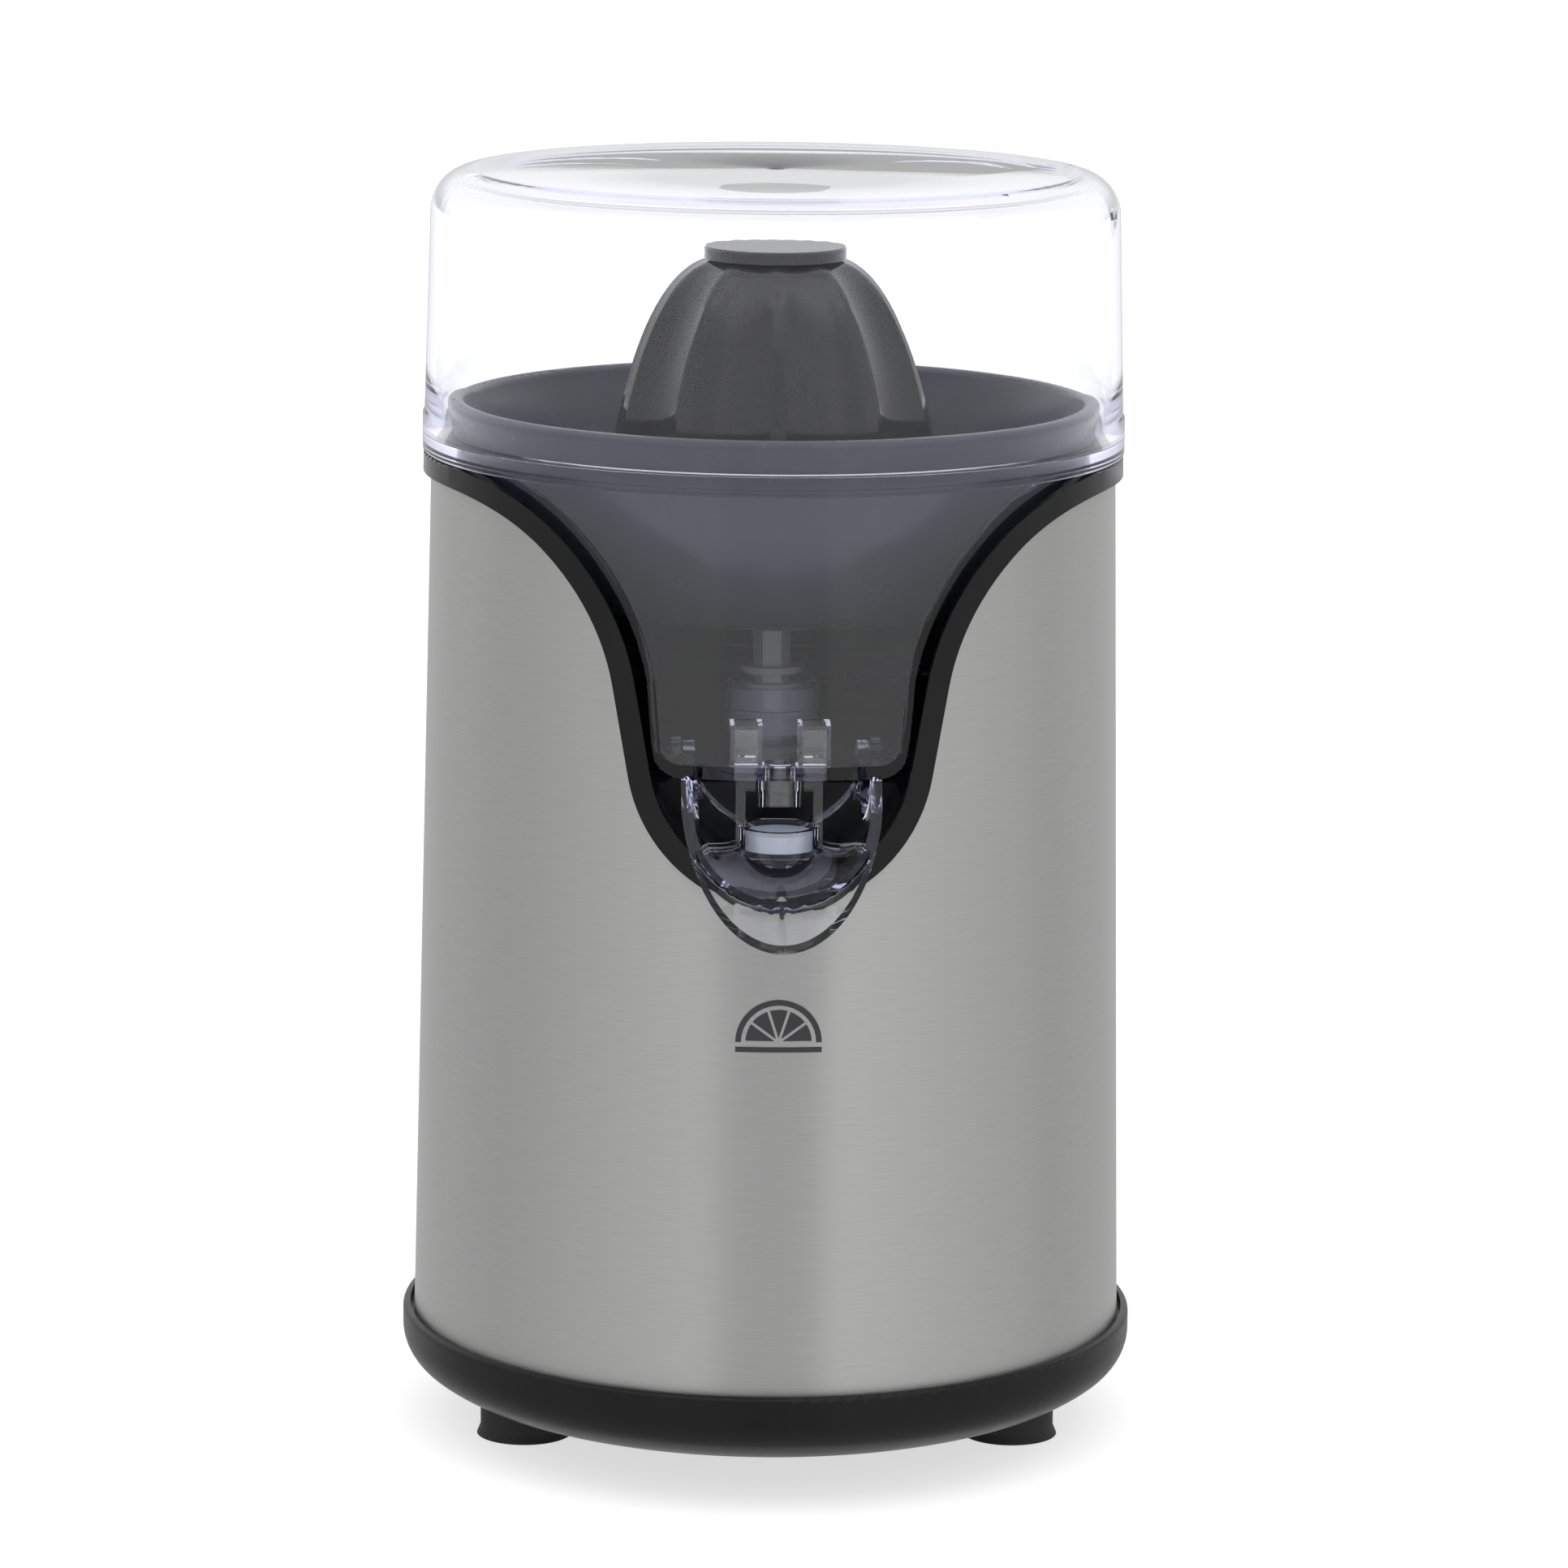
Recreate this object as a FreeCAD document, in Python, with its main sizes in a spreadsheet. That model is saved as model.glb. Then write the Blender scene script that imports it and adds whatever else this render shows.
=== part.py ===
import FreeCAD
import Part
import Sketcher
import math
import os

# Electric citrus press: a tapered steel drum on a black base, a clear juice collector with a
# front window and a tilting drip-stop spout, a pulp strainer, two reaming cones and a clear lid.
# Millimetres, +Z up, front (spout) towards -Y. The parts are drawn about the drum's axis; keep()
# then moves each one so that the origin is on the table, midway between spout lip and base back.

SIZE_TABLE = [
    # base and drum
    ("base_radius", 80.0, "outer radius of the base ring"),
    ("bowl_foot_radius", 61.0, "radius of the flat underside of the bottom cover"),
    ("bowl_floor_height", 8.0, "underside of the bottom cover above the table"),
    ("bowl_side_radius", 9.0, "rounding of the bottom cover's side, in profile"),
    ("seam_height", 20.5, "joint between bottom cover and base ring"),
    ("ring_lip_height", 25.3, "top of the lip around the drum"),
    ("ring_lip_wall", 1.6, "thickness of that lip"),
    ("plastic_wall", 2.2, "usual wall of the black mouldings"),
    ("steel_wall", 0.6, "sheet thickness of the drum"),
    ("steel_low_height", 23.2, "lower edge of the sheet, inside the ring groove"),
    ("steel_low_radius", 77.55, "drum radius at its lower edge"),
    ("steel_high_height", 211.0, "upper edge of the sheet, under the bezel"),
    ("steel_high_radius", 73.67, "drum radius at its upper edge"),
    ("foot_radius", 9.6, "rubber foot"),
    ("foot_flare", 0.8, "flared sole of a rubber foot"),
    ("foot_circle", 56.4, "radius of the circle of feet"),
    # front opening, drawn on the front plane
    ("opening_low_radius", 31.9, "round bottom of the opening, at the bezel's outer edge"),
    ("opening_low_height", 160.7, "centre height of that round bottom"),
    ("opening_lean", 10.0, "outward lean of the sides, degrees"),
    ("opening_turn", 47.0, "lean where the two flare arcs meet, degrees"),
    ("opening_run", 19.1, "length of the straight sides"),
    ("opening_flare_low", 48.0, "radius of the lower flare arc"),
    ("opening_flare_high", 33.9, "radius of the upper flare arc"),
    ("bezel_width", 4.6, "width of the bezel's face"),
    ("bezel_proud", 1.7, "bezel face stands proud of the steel"),
    ("bezel_overlap", 1.8, "steel runs under the bezel by this much"),
    # upper housing
    ("housing_wall_radius", 72.4, "outside of the inner housing's wall"),
    ("housing_wall", 1.8, "its thickness"),
    ("deck_height", 150.0, "top face of the deck"),
    ("deck_wall", 2.5, "deck thickness"),
    ("deck_hole_radius", 9.2, "opening in the deck for the spindle"),
    ("channel_back", 47.0, "depth of the spout channel's back wall from the axis"),
    ("post_circle", 62.0, "radius of the circle of screw posts"),
    ("post_radius", 4.0, "screw post"),
    ("post_end_height", 24.5, "lower end of the screw posts"),
    ("screw_radius", 1.5, "self-tapping screw shank"),
    ("screw_head_radius", 2.9, "its pan head"),
    ("screw_head_height", 1.8, "height of the head"),
    # collector
    ("rim_radius", 75.5, "collector rim and lid flange"),
    ("rim_low_height", 214.4, "underside of the collector rim"),
    ("rim_high_height", 218.5, "top of the collector rim"),
    ("collector_radius", 70.1, "outside of the collector's wall"),
    ("clear_wall", 1.9, "wall of the clear mouldings"),
    ("collector_floor", 155.5, "underside of the collector floor"),
    ("floor_wall", 2.5, "thickness of the collector floor"),
    ("window_radius", 74.5, "outside of the bulged front window"),
    ("window_inset", 7.2, "gap from the bezel's outer edge to the window side"),
    ("window_half_width", 26.6, "half width of the straight lower part"),
    ("window_corner", 6.0, "corner radius at the window's bottom"),
    ("hub_radius", 10.6, "outside of the collector hub"),
    ("hub_bore", 8.6, "bore of the collector hub"),
    ("hub_low_height", 151.2, "lower end of the hub"),
    ("hub_high_height", 163.0, "upper end of the hub"),
    ("drain_depth", 66.0, "drain tube's distance in front of the axis"),
    ("drain_radius", 4.5, "outside of the drain tube"),
    ("drain_bore", 3.3, "bore of the drain tube"),
    ("guide_inner", 4.6, "inner face of a hook guide"),
    ("guide_outer", 9.4, "outer face of the space in a hook guide"),
    ("guide_wall", 0.9, "wall of a hook guide"),
    ("guide_height", 166.2, "top of a hook guide"),
    # spout
    ("hinge_depth", 38.0, "spout hinge in front of the axis"),
    ("hinge_height", 152.9, "spout hinge above the table"),
    ("hinge_pin_radius", 1.5, "spout hinge pin"),
    ("hinge_play", 0.06, "radial clearance of that pin"),
    ("hinge_ear_inner", 20.0, "inner face of the collector's hinge ears"),
    ("hinge_ear_wall", 2.0, "thickness of an ear"),
    ("spout_tilt", 11.0, "tilt from open to closed, degrees"),
    ("spout_radius", 20.6, "outside of the trough"),
    ("spout_wall", 2.4, "trough wall"),
    ("spout_front", 90.3, "front face of the trough in front of the axis"),
    ("spout_back", 50.0, "back end of the trough"),
    ("spout_low_height", 131.2, "underside of the trough at its front face"),
    ("spout_shoulder", 144.2, "height where the thin lip begins"),
    ("lip_reach", 9.9, "lip beyond the front face"),
    ("lip_drop", 6.5, "lip below the trough"),
    ("lip_wall", 1.1, "thickness of the lip"),
    ("cup_radius", 8.4, "cup that holds the plug"),
    ("plug_radius", 7.1, "silicone plug"),
    ("plug_height", 3.4, "silicone plug"),
    ("plug_seat_height", 139.7, "underside of the plug when open"),
    # strainer
    ("strainer_rim_radius", 70.9, "outside of the strainer's rolled rim"),
    ("strainer_top_height", 225.0, "top of that rim"),
    ("strainer_wall", 2.0, "strainer wall"),
    ("strainer_low_height", 181.5, "underside of the perforated floor"),
    ("strainer_floor_radius", 42.0, "flat part of the floor"),
    ("strainer_hub_bore", 6.6, "hole for the shaft"),
    ("slot_count", 24.0, "juice slots around the floor"),
    ("slot_width", 2.0, "width of a juice slot"),
    # cones
    ("cone_top_height", 258.0, "top of the large cone"),
    ("cone_low_height", 194.5, "lower edge of the large cone"),
    ("cone_radius", 37.0, "radius of that lower edge"),
    ("cone_collar_radius", 15.3, "flat collar on top of the large cone"),
    ("cone_collar_height", 2.6, "thickness of the collar"),
    ("cone_wall", 2.2, "wall of the large cone"),
    ("rib_count", 10.0, "ribs on each cone"),
    ("rib_width", 3.6, "width of a rib at the lower edge"),
    ("flute_depth", 3.4, "depth of the flutes"),
    ("small_cone_radius", 24.5, "radius of the small cone"),
    ("small_cone_low", 200.5, "lower edge of the small cone"),
    # lid
    ("lid_top_height", 274.5, "top of the lid"),
    ("lid_wall", 2.2, "wall of the lid"),
    ("lid_flange_height", 223.0, "top of the lid's flange"),
    ("lid_low_radius", 75.1, "outside of the lid's wall above the flange"),
    ("lid_high_radius", 73.8, "outside of the lid's wall at the top corner"),
    ("lid_corner", 9.0, "corner radius"),
    # drive
    ("shaft_flats", 7.0, "across the flats of the drive shaft"),
    ("shaft_top_height", 243.0, "top of the drive shaft"),
    ("journal_radius", 6.5, "round journal of the drive shaft"),
    ("running_play", 0.05, "radial clearance of shafts in bushes"),
    ("seat_gap", 0.05, "gap left between stacked parts that lift off one another"),
    ("press_travel", 2.5, "travel of the press-to-start spindle"),
    ("spindle_flats", 8.0, "across the flats of the spindle"),
    ("spindle_radius", 5.0, "round part of the spindle"),
    ("spindle_tail_radius", 3.9, "lower journal of the spindle"),
    ("spindle_tip_height", 96.0, "lower tip of the spindle"),
    ("output_teeth", 60.0, "teeth of the output gear"),
    ("output_module", 1.0, "module of the second gear stage"),
    ("pinion_teeth", 12.0, "teeth of the compound gear's pinion"),
    ("wheel_teeth", 60.0, "teeth of the compound gear's wheel"),
    ("wheel_module", 0.8, "module of the first gear stage"),
    ("motor_teeth", 10.0, "teeth of the motor pinion"),
    ("motor_turn", -60.0, "direction of the motor seen from the compound gear, degrees"),
    ("output_low_height", 122.0, "underside of the output gear"),
    ("output_face", 10.0, "face width of the output gear"),
    ("wheel_low_height", 109.0, "underside of the compound wheel"),
    ("wheel_face", 7.0, "face width of the compound wheel"),
    ("gearbox_low_height", 102.0, "underside of the gearbox tray"),
    ("gearbox_high_height", 140.0, "top of the gearbox tray"),
    ("gearbox_wall", 2.2, "wall of the gearbox"),
    ("axle_radius", 2.5, "axle of the compound gear"),
    # motor
    ("stator_low_height", 50.0, "underside of the lamination stack"),
    ("stator_height", 20.0, "height of the lamination stack"),
    ("stator_width", 54.0, "width of the stack"),
    ("stator_back", 52.0, "yoke end, from the motor axis"),
    ("rotor_radius", 12.4, "magnet rotor"),
    ("air_gap", 1.0, "gap between rotor and poles"),
    ("motor_shaft_radius", 2.5, "rotor shaft"),
]


class Size:
    """A length or angle that carries its number and the expression that drives it."""

    def __init__(self, value, text):
        self.value = value
        self.text = text

    @staticmethod
    def of(other):
        return other if isinstance(other, Size) else Size(float(other), repr(float(other)))

    def joined(self, other, sign, value):
        return Size(value, f"({self.text} {sign} {Size.of(other).text})")

    def __add__(self, other):
        return self.joined(other, "+", self.value + Size.of(other).value)

    def __sub__(self, other):
        return self.joined(other, "-", self.value - Size.of(other).value)

    def __mul__(self, other):
        return self.joined(other, "*", self.value * Size.of(other).value)

    def __truediv__(self, other):
        return self.joined(other, "/", self.value / Size.of(other).value)

    def __radd__(self, other):
        return Size.of(other) + self

    def __rsub__(self, other):
        return Size.of(other) - self

    def __rmul__(self, other):
        return Size.of(other) * self

    def __neg__(self):
        return Size.of(0) - self


def sine(angle):
    angle = Size.of(angle)
    return Size(math.sin(math.radians(angle.value)), f"sin({angle.text})")


def cosine(angle):
    angle = Size.of(angle)
    return Size(math.cos(math.radians(angle.value)), f"cos({angle.text})")


def tangent(angle):
    return sine(angle) / cosine(angle)


def root(size):
    return Size(math.sqrt(size.value), f"sqrt({size.text})")


def numbers(*sizes):
    return [Size.of(size).value for size in sizes]


# ---------------------------------------------------------------- document and driving sizes

doc = FreeCAD.newDocument("CitrusPress")
sheet = doc.addObject("Spreadsheet::Sheet", "Sizes")
for row, (alias, number, meaning) in enumerate(SIZE_TABLE, start=1):
    sheet.set(f"A{row}", meaning)
    sheet.set(f"B{row}", str(number))
    sheet.setAlias(f"B{row}", alias)
doc.recompute()


class Drive:
    """Gives each driving size by its alias, read from the sheet."""

    def __getattr__(self, alias):
        return Size(float(sheet.get(alias)), f"Sizes.{alias}")


d = Drive()
PARTS = {}


def keep(label, item):
    """Registers a finished object as the sub-part with this label, moved to the row's origin."""
    if item.TypeId in ("Part::Cylinder", "Part::Sweep", "Part::Extrusion"):
        item = group(item)
    bind(item, "Placement.Base.y", (d.spout_front + d.lip_reach - d.base_radius) / 2)
    item.Label = label
    PARTS[label] = item
    return item


def bind(item, prop, size):
    """Sets a property and drives it from the sheet."""
    size = Size.of(size)
    if "." not in prop:
        setattr(item, prop, size.value)
    item.setExpression(prop, size.text)


def place(item, x=0, y=0, z=0, axis=None, angle=0):
    """Puts an object at a point, each coordinate driven from the sheet."""
    if axis is not None:
        item.Placement = FreeCAD.Placement(
            FreeCAD.Vector(0, 0, 0), FreeCAD.Rotation(FreeCAD.Vector(*axis), Size.of(angle).value))
    for name, size in zip("xyz", (x, y, z)):
        item.setExpression(f"Placement.Base.{name}", Size.of(size).text)
    return item


# ---------------------------------------------------------------- primitives and booleans

def cylinder(radius, height, x=0, y=0, z=0, axis=None, angle=0):
    item = doc.addObject("Part::Cylinder", "Cylinder")
    bind(item, "Radius", radius)
    bind(item, "Height", height)
    return place(item, x, y, z, axis, angle)


def cone(low_radius, high_radius, height, x=0, y=0, z=0):
    item = doc.addObject("Part::Cone", "Cone")
    bind(item, "Radius1", low_radius)
    bind(item, "Radius2", high_radius)
    bind(item, "Height", height)
    return place(item, x, y, z)


def box(low, high):
    item = doc.addObject("Part::Box", "Box")
    for prop, first, last in zip(("Length", "Width", "Height"), low, high):
        bind(item, prop, Size.of(last) - first)
    return place(item, *low)


def hexagon(flats, height, z, x=0, y=0):
    """An upright hexagonal bar, from its size across the flats."""
    item = doc.addObject("Part::Prism", "Hexagon")
    item.Polygon = 6
    bind(item, "Circumradius", flats / cosine(30) / 2)
    bind(item, "Height", height)
    return place(item, x, y, z)


def fuse(*items):
    item = doc.addObject("Part::MultiFuse", "Fuse")
    item.Shapes = list(items)
    return item


def cut(base, *tools):
    item = doc.addObject("Part::Cut", "Cut")
    item.Base = base
    item.Tool = tools[0] if len(tools) == 1 else fuse(*tools)
    return item


def common(base, tool):
    item = doc.addObject("Part::MultiCommon", "Common")
    item.Shapes = [base, tool]
    return item


def group(*items):
    """Separate solids that make one sub-part, such as a set of screws."""
    item = doc.addObject("Part::Compound", "Group")
    item.Links = list(items)
    return item


def tube(outer, inner, height, z, x=0, y=0):
    return cut(cylinder(outer, height, x, y, z), cylinder(inner, height + 2, x, y, z - 1))


# ---------------------------------------------------------------- sketches and features

def new_body(name):
    return doc.addObject("PartDesign::Body", name)


def new_sketch(body, plane="XZ_Plane"):
    sketch = body.newObject("Sketcher::SketchObject", "Sketch")
    datum = [feature for feature in body.Origin.OriginFeatures if feature.Role == plane]
    sketch.AttachmentSupport = [(datum[0], "")]
    sketch.MapMode = "FlatFace"
    return sketch


def fix_point(sketch, edge, end, corner):
    for kind, size in zip(("DistanceX", "DistanceY"), corner):
        size = Size.of(size)
        index = sketch.addConstraint(Sketcher.Constraint(kind, edge, end, size.value))
        sketch.setExpression(f"Constraints[{index}]", size.text)


def draw_arc(sketch, start, end, turn, radius):
    """Adds the short arc from start to end; says whether the arc itself runs the other way."""
    chord = end - start
    rise = math.sqrt(max(radius.value ** 2 - chord.Length ** 2 / 4, 0))
    side = FreeCAD.Vector(-chord.y, chord.x, 0) * (1 / chord.Length)
    middle = (start + end) * 0.5
    centre = middle + side * rise if turn == "ccw" else middle - side * rise
    angles = [math.atan2(point.y - centre.y, point.x - centre.x) for point in (start, end)]
    if turn == "cw":
        angles.reverse()
    circle = Part.Circle(centre, FreeCAD.Vector(0, 0, 1), radius.value)
    edge = sketch.addGeometry(Part.ArcOfCircle(circle, *angles), False)
    index = sketch.addConstraint(Sketcher.Constraint("Radius", edge, radius.value))
    sketch.setExpression(f"Constraints[{index}]", radius.text)
    return turn == "cw"


def draw_loop(sketch, steps):
    """Draws a closed outline. A step is a corner (x, y), with a turn and a radius added when
    the edge that leaves it is an arc."""
    points = [FreeCAD.Vector(*numbers(step[0], step[1]), 0) for step in steps]
    ends = []
    for index, step in enumerate(steps):
        start, end = points[index], points[(index + 1) % len(points)]
        if len(step) == 2:
            edge = sketch.addGeometry(Part.LineSegment(start, end), False)
            ends.append((edge, 1, 2))
        else:
            backwards = draw_arc(sketch, start, end, step[2], Size.of(step[3]))
            edge = sketch.GeometryCount - 1
            ends.append((edge, 2, 1) if backwards else (edge, 1, 2))
    for index, (edge, first, last) in enumerate(ends):
        following = ends[(index + 1) % len(ends)]
        sketch.addConstraint(Sketcher.Constraint("Coincident", edge, last, following[0], following[1]))
        fix_point(sketch, edge, first, steps[index][:2])
    return sketch


def revolve(body, steps):
    """Turns an outline in the XZ plane about the upright axis."""
    sketch = draw_loop(new_sketch(body), steps)
    feature = body.newObject("PartDesign::Revolution", "Revolution")
    feature.Profile = sketch
    feature.ReferenceAxis = (sketch, ["V_Axis"])
    feature.Angle = 360
    sketch.Visibility = False
    return feature


def extrude(body, kind, plane, steps, length, reverse=False, both_ways=False):
    """Pads or pockets an outline by a length."""
    sketch = draw_loop(new_sketch(body, plane), steps)
    feature = body.newObject(f"PartDesign::{kind}", kind)
    feature.Profile = sketch
    bind(feature, "Length", length)
    feature.Reversed = reverse
    if both_ways:
        feature.SideType = "Symmetric"
    return feature


# ---------------------------------------------------------------- the front opening's outline

def opening_half(inset):
    """Right half of the opening, from its lowest point up to the level run of its top edge,
    moved towards the middle of the opening by the inset."""
    low = d.opening_low_radius - inset
    flare_low = d.opening_flare_low + inset
    flare_high = d.opening_flare_high + inset
    lean, turn = d.opening_lean, d.opening_turn
    bottom = (Size.of(0), d.opening_low_height - low, "ccw", low)
    side_x = low * cosine(lean)
    side_z = d.opening_low_height - low * sine(lean)
    side = (side_x, side_z)
    rise_x = side_x + d.opening_run * sine(lean)
    rise_z = side_z + d.opening_run * cosine(lean)
    rise = (rise_x, rise_z, "cw", flare_low)
    bend_x = rise_x + flare_low * (cosine(lean) - cosine(turn))
    bend_z = rise_z + flare_low * (sine(turn) - sine(lean))
    bend = (bend_x, bend_z, "cw", flare_high)
    level = (bend_x + flare_high * cosine(turn), bend_z + flare_high * (1 - sine(turn)))
    return [bottom, side, rise, bend, level]


def mirrored(steps):
    """The left half of an outline, walked from its last point back to its first."""
    result = []
    for index in range(len(steps) - 1, -1, -1):
        point = (-Size.of(steps[index][0]), steps[index][1])
        arc = tuple(steps[index - 1][2:]) if index > 0 else ()
        result.append(point + arc)
    return result


def opening_loop(inset, top):
    """The whole opening, closed by a straight line at a height above its level run."""
    right = opening_half(inset)
    left = mirrored(right)
    level_x = right[-1][0]
    return right + [(level_x, top), (-level_x, top)] + left[:-1]


opening_level = opening_half(0)[-1][1]


def steel_radius(height):
    """Outer radius of the tapered drum at a height."""
    share = (Size.of(height) - d.steel_low_height) / (d.steel_high_height - d.steel_low_height)
    return d.steel_low_radius + (d.steel_high_radius - d.steel_low_radius) * share


def around(circle, angle):
    """Point on a circle about the axis; 0 degrees is the front, positive towards +X."""
    return Size.of(circle) * sine(angle), -(Size.of(circle) * cosine(angle))


# ---------------------------------------------------------------- base

POST_ANGLES = (45, 135, 225, 315)
EAR_PLACES = ((-38.5, -5.0), (38.5, -5.0), (-29.5, 46.0), (29.5, 46.0))
SEAL_DEPTH = 2.2
FOOT_ANGLES = (70, 180, 290)
GLAND_HEIGHT = 14.6
GLAND_FLANGE = 5.6


def make_bottom_cover():
    wall = d.plastic_wall
    low, seam = d.bowl_floor_height, d.seam_height
    foot, rim = d.bowl_foot_radius, d.base_radius
    side, height = d.bowl_side_radius, seam - low
    across = rim - side - foot
    under = (across * across + height * height - side * side) / ((height - side) * 2)
    lean_x, lean_z = across / (under - side), (under - height) / (under - side)
    bend_x, bend_z = rim - side + side * lean_x, seam - side * lean_z
    inner_x, inner_z = bend_x - wall * lean_x, bend_z + wall * lean_z
    body = new_body("bottom_cover_shell")
    revolve(body, [
        (0, low), (foot, low, "ccw", under), (bend_x, bend_z, "ccw", side), (rim, seam),
        (rim - wall, seam, "cw", side - wall), (inner_x, inner_z, "cw", under - wall),
        (foot, low + wall), (0, low + wall)])
    extras = []
    holes = []
    top = d.post_end_height - 0.3
    for angle in POST_ANGLES:
        x, y = around(d.post_circle, angle)
        extras.append(cylinder(d.post_radius, top - low, x, y, low))
        holes.append(cylinder(d.screw_radius + 0.2, top - low + 2, x, y, low - 1))
        holes.append(cylinder(d.screw_head_radius + 0.3, d.screw_head_height + 3, x, y, low - 1))
    for angle in FOOT_ANGLES:
        x, y = around(d.foot_circle, angle)
        extras.append(cylinder(d.foot_radius + 0.2, 4.4, x, y, low))
        holes.append(cylinder(d.foot_radius - 1.0, 2.0, x, y, low - 1))
    for index in range(18):
        angle = index * 20 + 10
        x, y = around(30, angle)
        slot = box((-1.2, -8, low - 1), (1.2, 8, low + wall + 1))
        slot.Placement = FreeCAD.Placement(
            FreeCAD.Vector(0, 0, 0), FreeCAD.Rotation(FreeCAD.Vector(0, 0, 1), angle))
        slot.setExpression("Placement.Base.z", (low - 1).text)
        slot.setExpression("Placement.Base.x", (x - 1.2 * cosine(angle) + 8 * sine(angle)).text)
        slot.setExpression("Placement.Base.y", (y - 1.2 * sine(angle) - 8 * cosine(angle)).text)
        holes.append(slot)
    back = d.base_radius
    extras.append(cylinder(GLAND_FLANGE, 13.8, 0, back - 16, GLAND_HEIGHT, (1, 0, 0), -90))
    holes.append(cylinder(4.7, 20, 0, back - 17, GLAND_HEIGHT, (1, 0, 0), -90))
    holes.append(cylinder(GLAND_FLANGE + 0.2, 10, 0, back - 2.2, GLAND_HEIGHT, (1, 0, 0), -90))
    keep("bottom_cover", cut(fuse(body, *extras), *holes))


def make_feet():
    feet = []
    seat = d.bowl_floor_height + 0.9
    for angle in FOOT_ANGLES:
        x, y = around(d.foot_circle, angle)
        sole = cone(d.foot_radius + d.foot_flare, d.foot_radius, 2.0, x, y, 0)
        column = cylinder(d.foot_radius, d.bowl_floor_height - 2.0, x, y, 2.0)
        plug = cylinder(d.foot_radius - 1.05, seat - d.bowl_floor_height, x, y, d.bowl_floor_height)
        feet.append(fuse(sole, column, plug))
    keep("rubber_feet", group(*feet))


def make_base_ring():
    outer = d.base_radius
    seam, lip = d.seam_height, d.ring_lip_height
    groove_in = steel_radius(seam) - d.steel_wall - 0.25
    groove_floor = d.steel_low_height
    body = new_body("base_ring")
    revolve(body, [
        (70.4, seam), (outer, seam), (outer, lip - 1.2, "ccw", 1.2), (outer - 1.2, lip),
        (outer - d.ring_lip_wall, lip), (outer - d.ring_lip_wall, groove_floor),
        (groove_in, groove_floor), (groove_in - 0.2, 33), (groove_in - 2.2, 33),
        (groove_in - 2.2, seam + 2.4), (70.4, seam + 2.4)])
    keep("base_ring", body)


def make_steel_shell():
    low, high = d.steel_low_height, d.steel_high_height
    body = new_body("steel_shell")
    revolve(body, [
        (steel_radius(low) - d.steel_wall, low), (steel_radius(low), low),
        (steel_radius(high), high), (steel_radius(high) - d.steel_wall, high)])
    extrude(body, "Pocket", "XZ_Plane", opening_loop(d.bezel_overlap, high + 5), 100, reverse=True)
    keep("steel_shell", body)


def make_screws():
    screws = []
    low = d.bowl_floor_height + 2.0 - d.screw_head_height
    for angle in POST_ANGLES:
        x, y = around(d.post_circle, angle)
        head = cylinder(d.screw_head_radius, d.screw_head_height, x, y, low)
        shank = cylinder(d.screw_radius, 30, x, y, low + d.screw_head_height)
        cross = [box((x - 1.6, y - 0.35, low - 1), (x + 1.6, y + 0.35, low + 0.8)),
                 box((x - 0.35, y - 1.6, low - 1), (x + 0.35, y + 1.6, low + 0.8))]
        screws.append(cut(fuse(head, shank), *cross))
    keep("cover_screws", group(*screws))


def make_gland():
    y, z = d.base_radius, GLAND_HEIGHT
    turn = ((1, 0, 0), -90)
    flange = cylinder(GLAND_FLANGE, 1.6, 0, y - 2.2, z, *turn)
    sleeve = cylinder(4.65, 12, 0, y - 14.0, z, *turn)
    bore = cylinder(3.3, 20, 0, y - 16, z, *turn)
    keep("cord_gland", cut(fuse(flange, sleeve), bore))


# ---------------------------------------------------------------- bezel and upper housing

def make_bezel():
    top = d.rim_low_height - 0.1
    low = d.opening_low_height - d.opening_low_radius - 2
    inner = d.housing_wall_radius + d.seat_gap
    lip = d.housing_wall_radius - d.housing_wall + 0.3
    seat = d.rim_low_height - 2.2 + d.seat_gap
    crown = steel_radius(top) + d.bezel_proud
    back = 100
    body = new_body("front_bezel")
    revolve(body, [
        (inner, low), (steel_radius(low) + d.bezel_proud, low), (crown, top - 0.6, "ccw", 0.6),
        (crown - 0.6, top), (lip, top), (lip, seat), (inner, seat)])
    extrude(body, "Pocket", "XZ_Plane", opening_loop(d.bezel_width, top + 5), back, reverse=True)
    outside = opening_half(0)
    frame = [(outside[-1][0], outside[-1][1])]
    frame += [(back, outside[-1][1]), (back, low - 5), (-back, low - 5), (-back, outside[-1][1])]
    frame += mirrored(outside)[:-1] + outside[:-1]
    extrude(body, "Pocket", "XZ_Plane", frame, back, reverse=True)
    level = opening_level
    extrude(body, "Pocket", "XZ_Plane",
            [(-back, low - 5), (back, low - 5), (back, level), (-back, level)], back)
    groove = cut(
        cone(steel_radius(low - 5) + 0.05, steel_radius(d.steel_high_height) + 0.05,
             d.steel_high_height - low + 5.1, 0, 0, low - 5),
        cone(steel_radius(low - 5) - d.steel_wall - 0.05,
             steel_radius(d.steel_high_height) - d.steel_wall - 0.05,
             d.steel_high_height - low + 5.1, 0, 0, low - 5))
    clear = new_body("groove_reach")
    extrude(clear, "Pad", "XZ_Plane", opening_loop(d.bezel_overlap + 0.05, top + 5), back)
    keep("front_bezel", cut(body, cut(groove, clear)))


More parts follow.
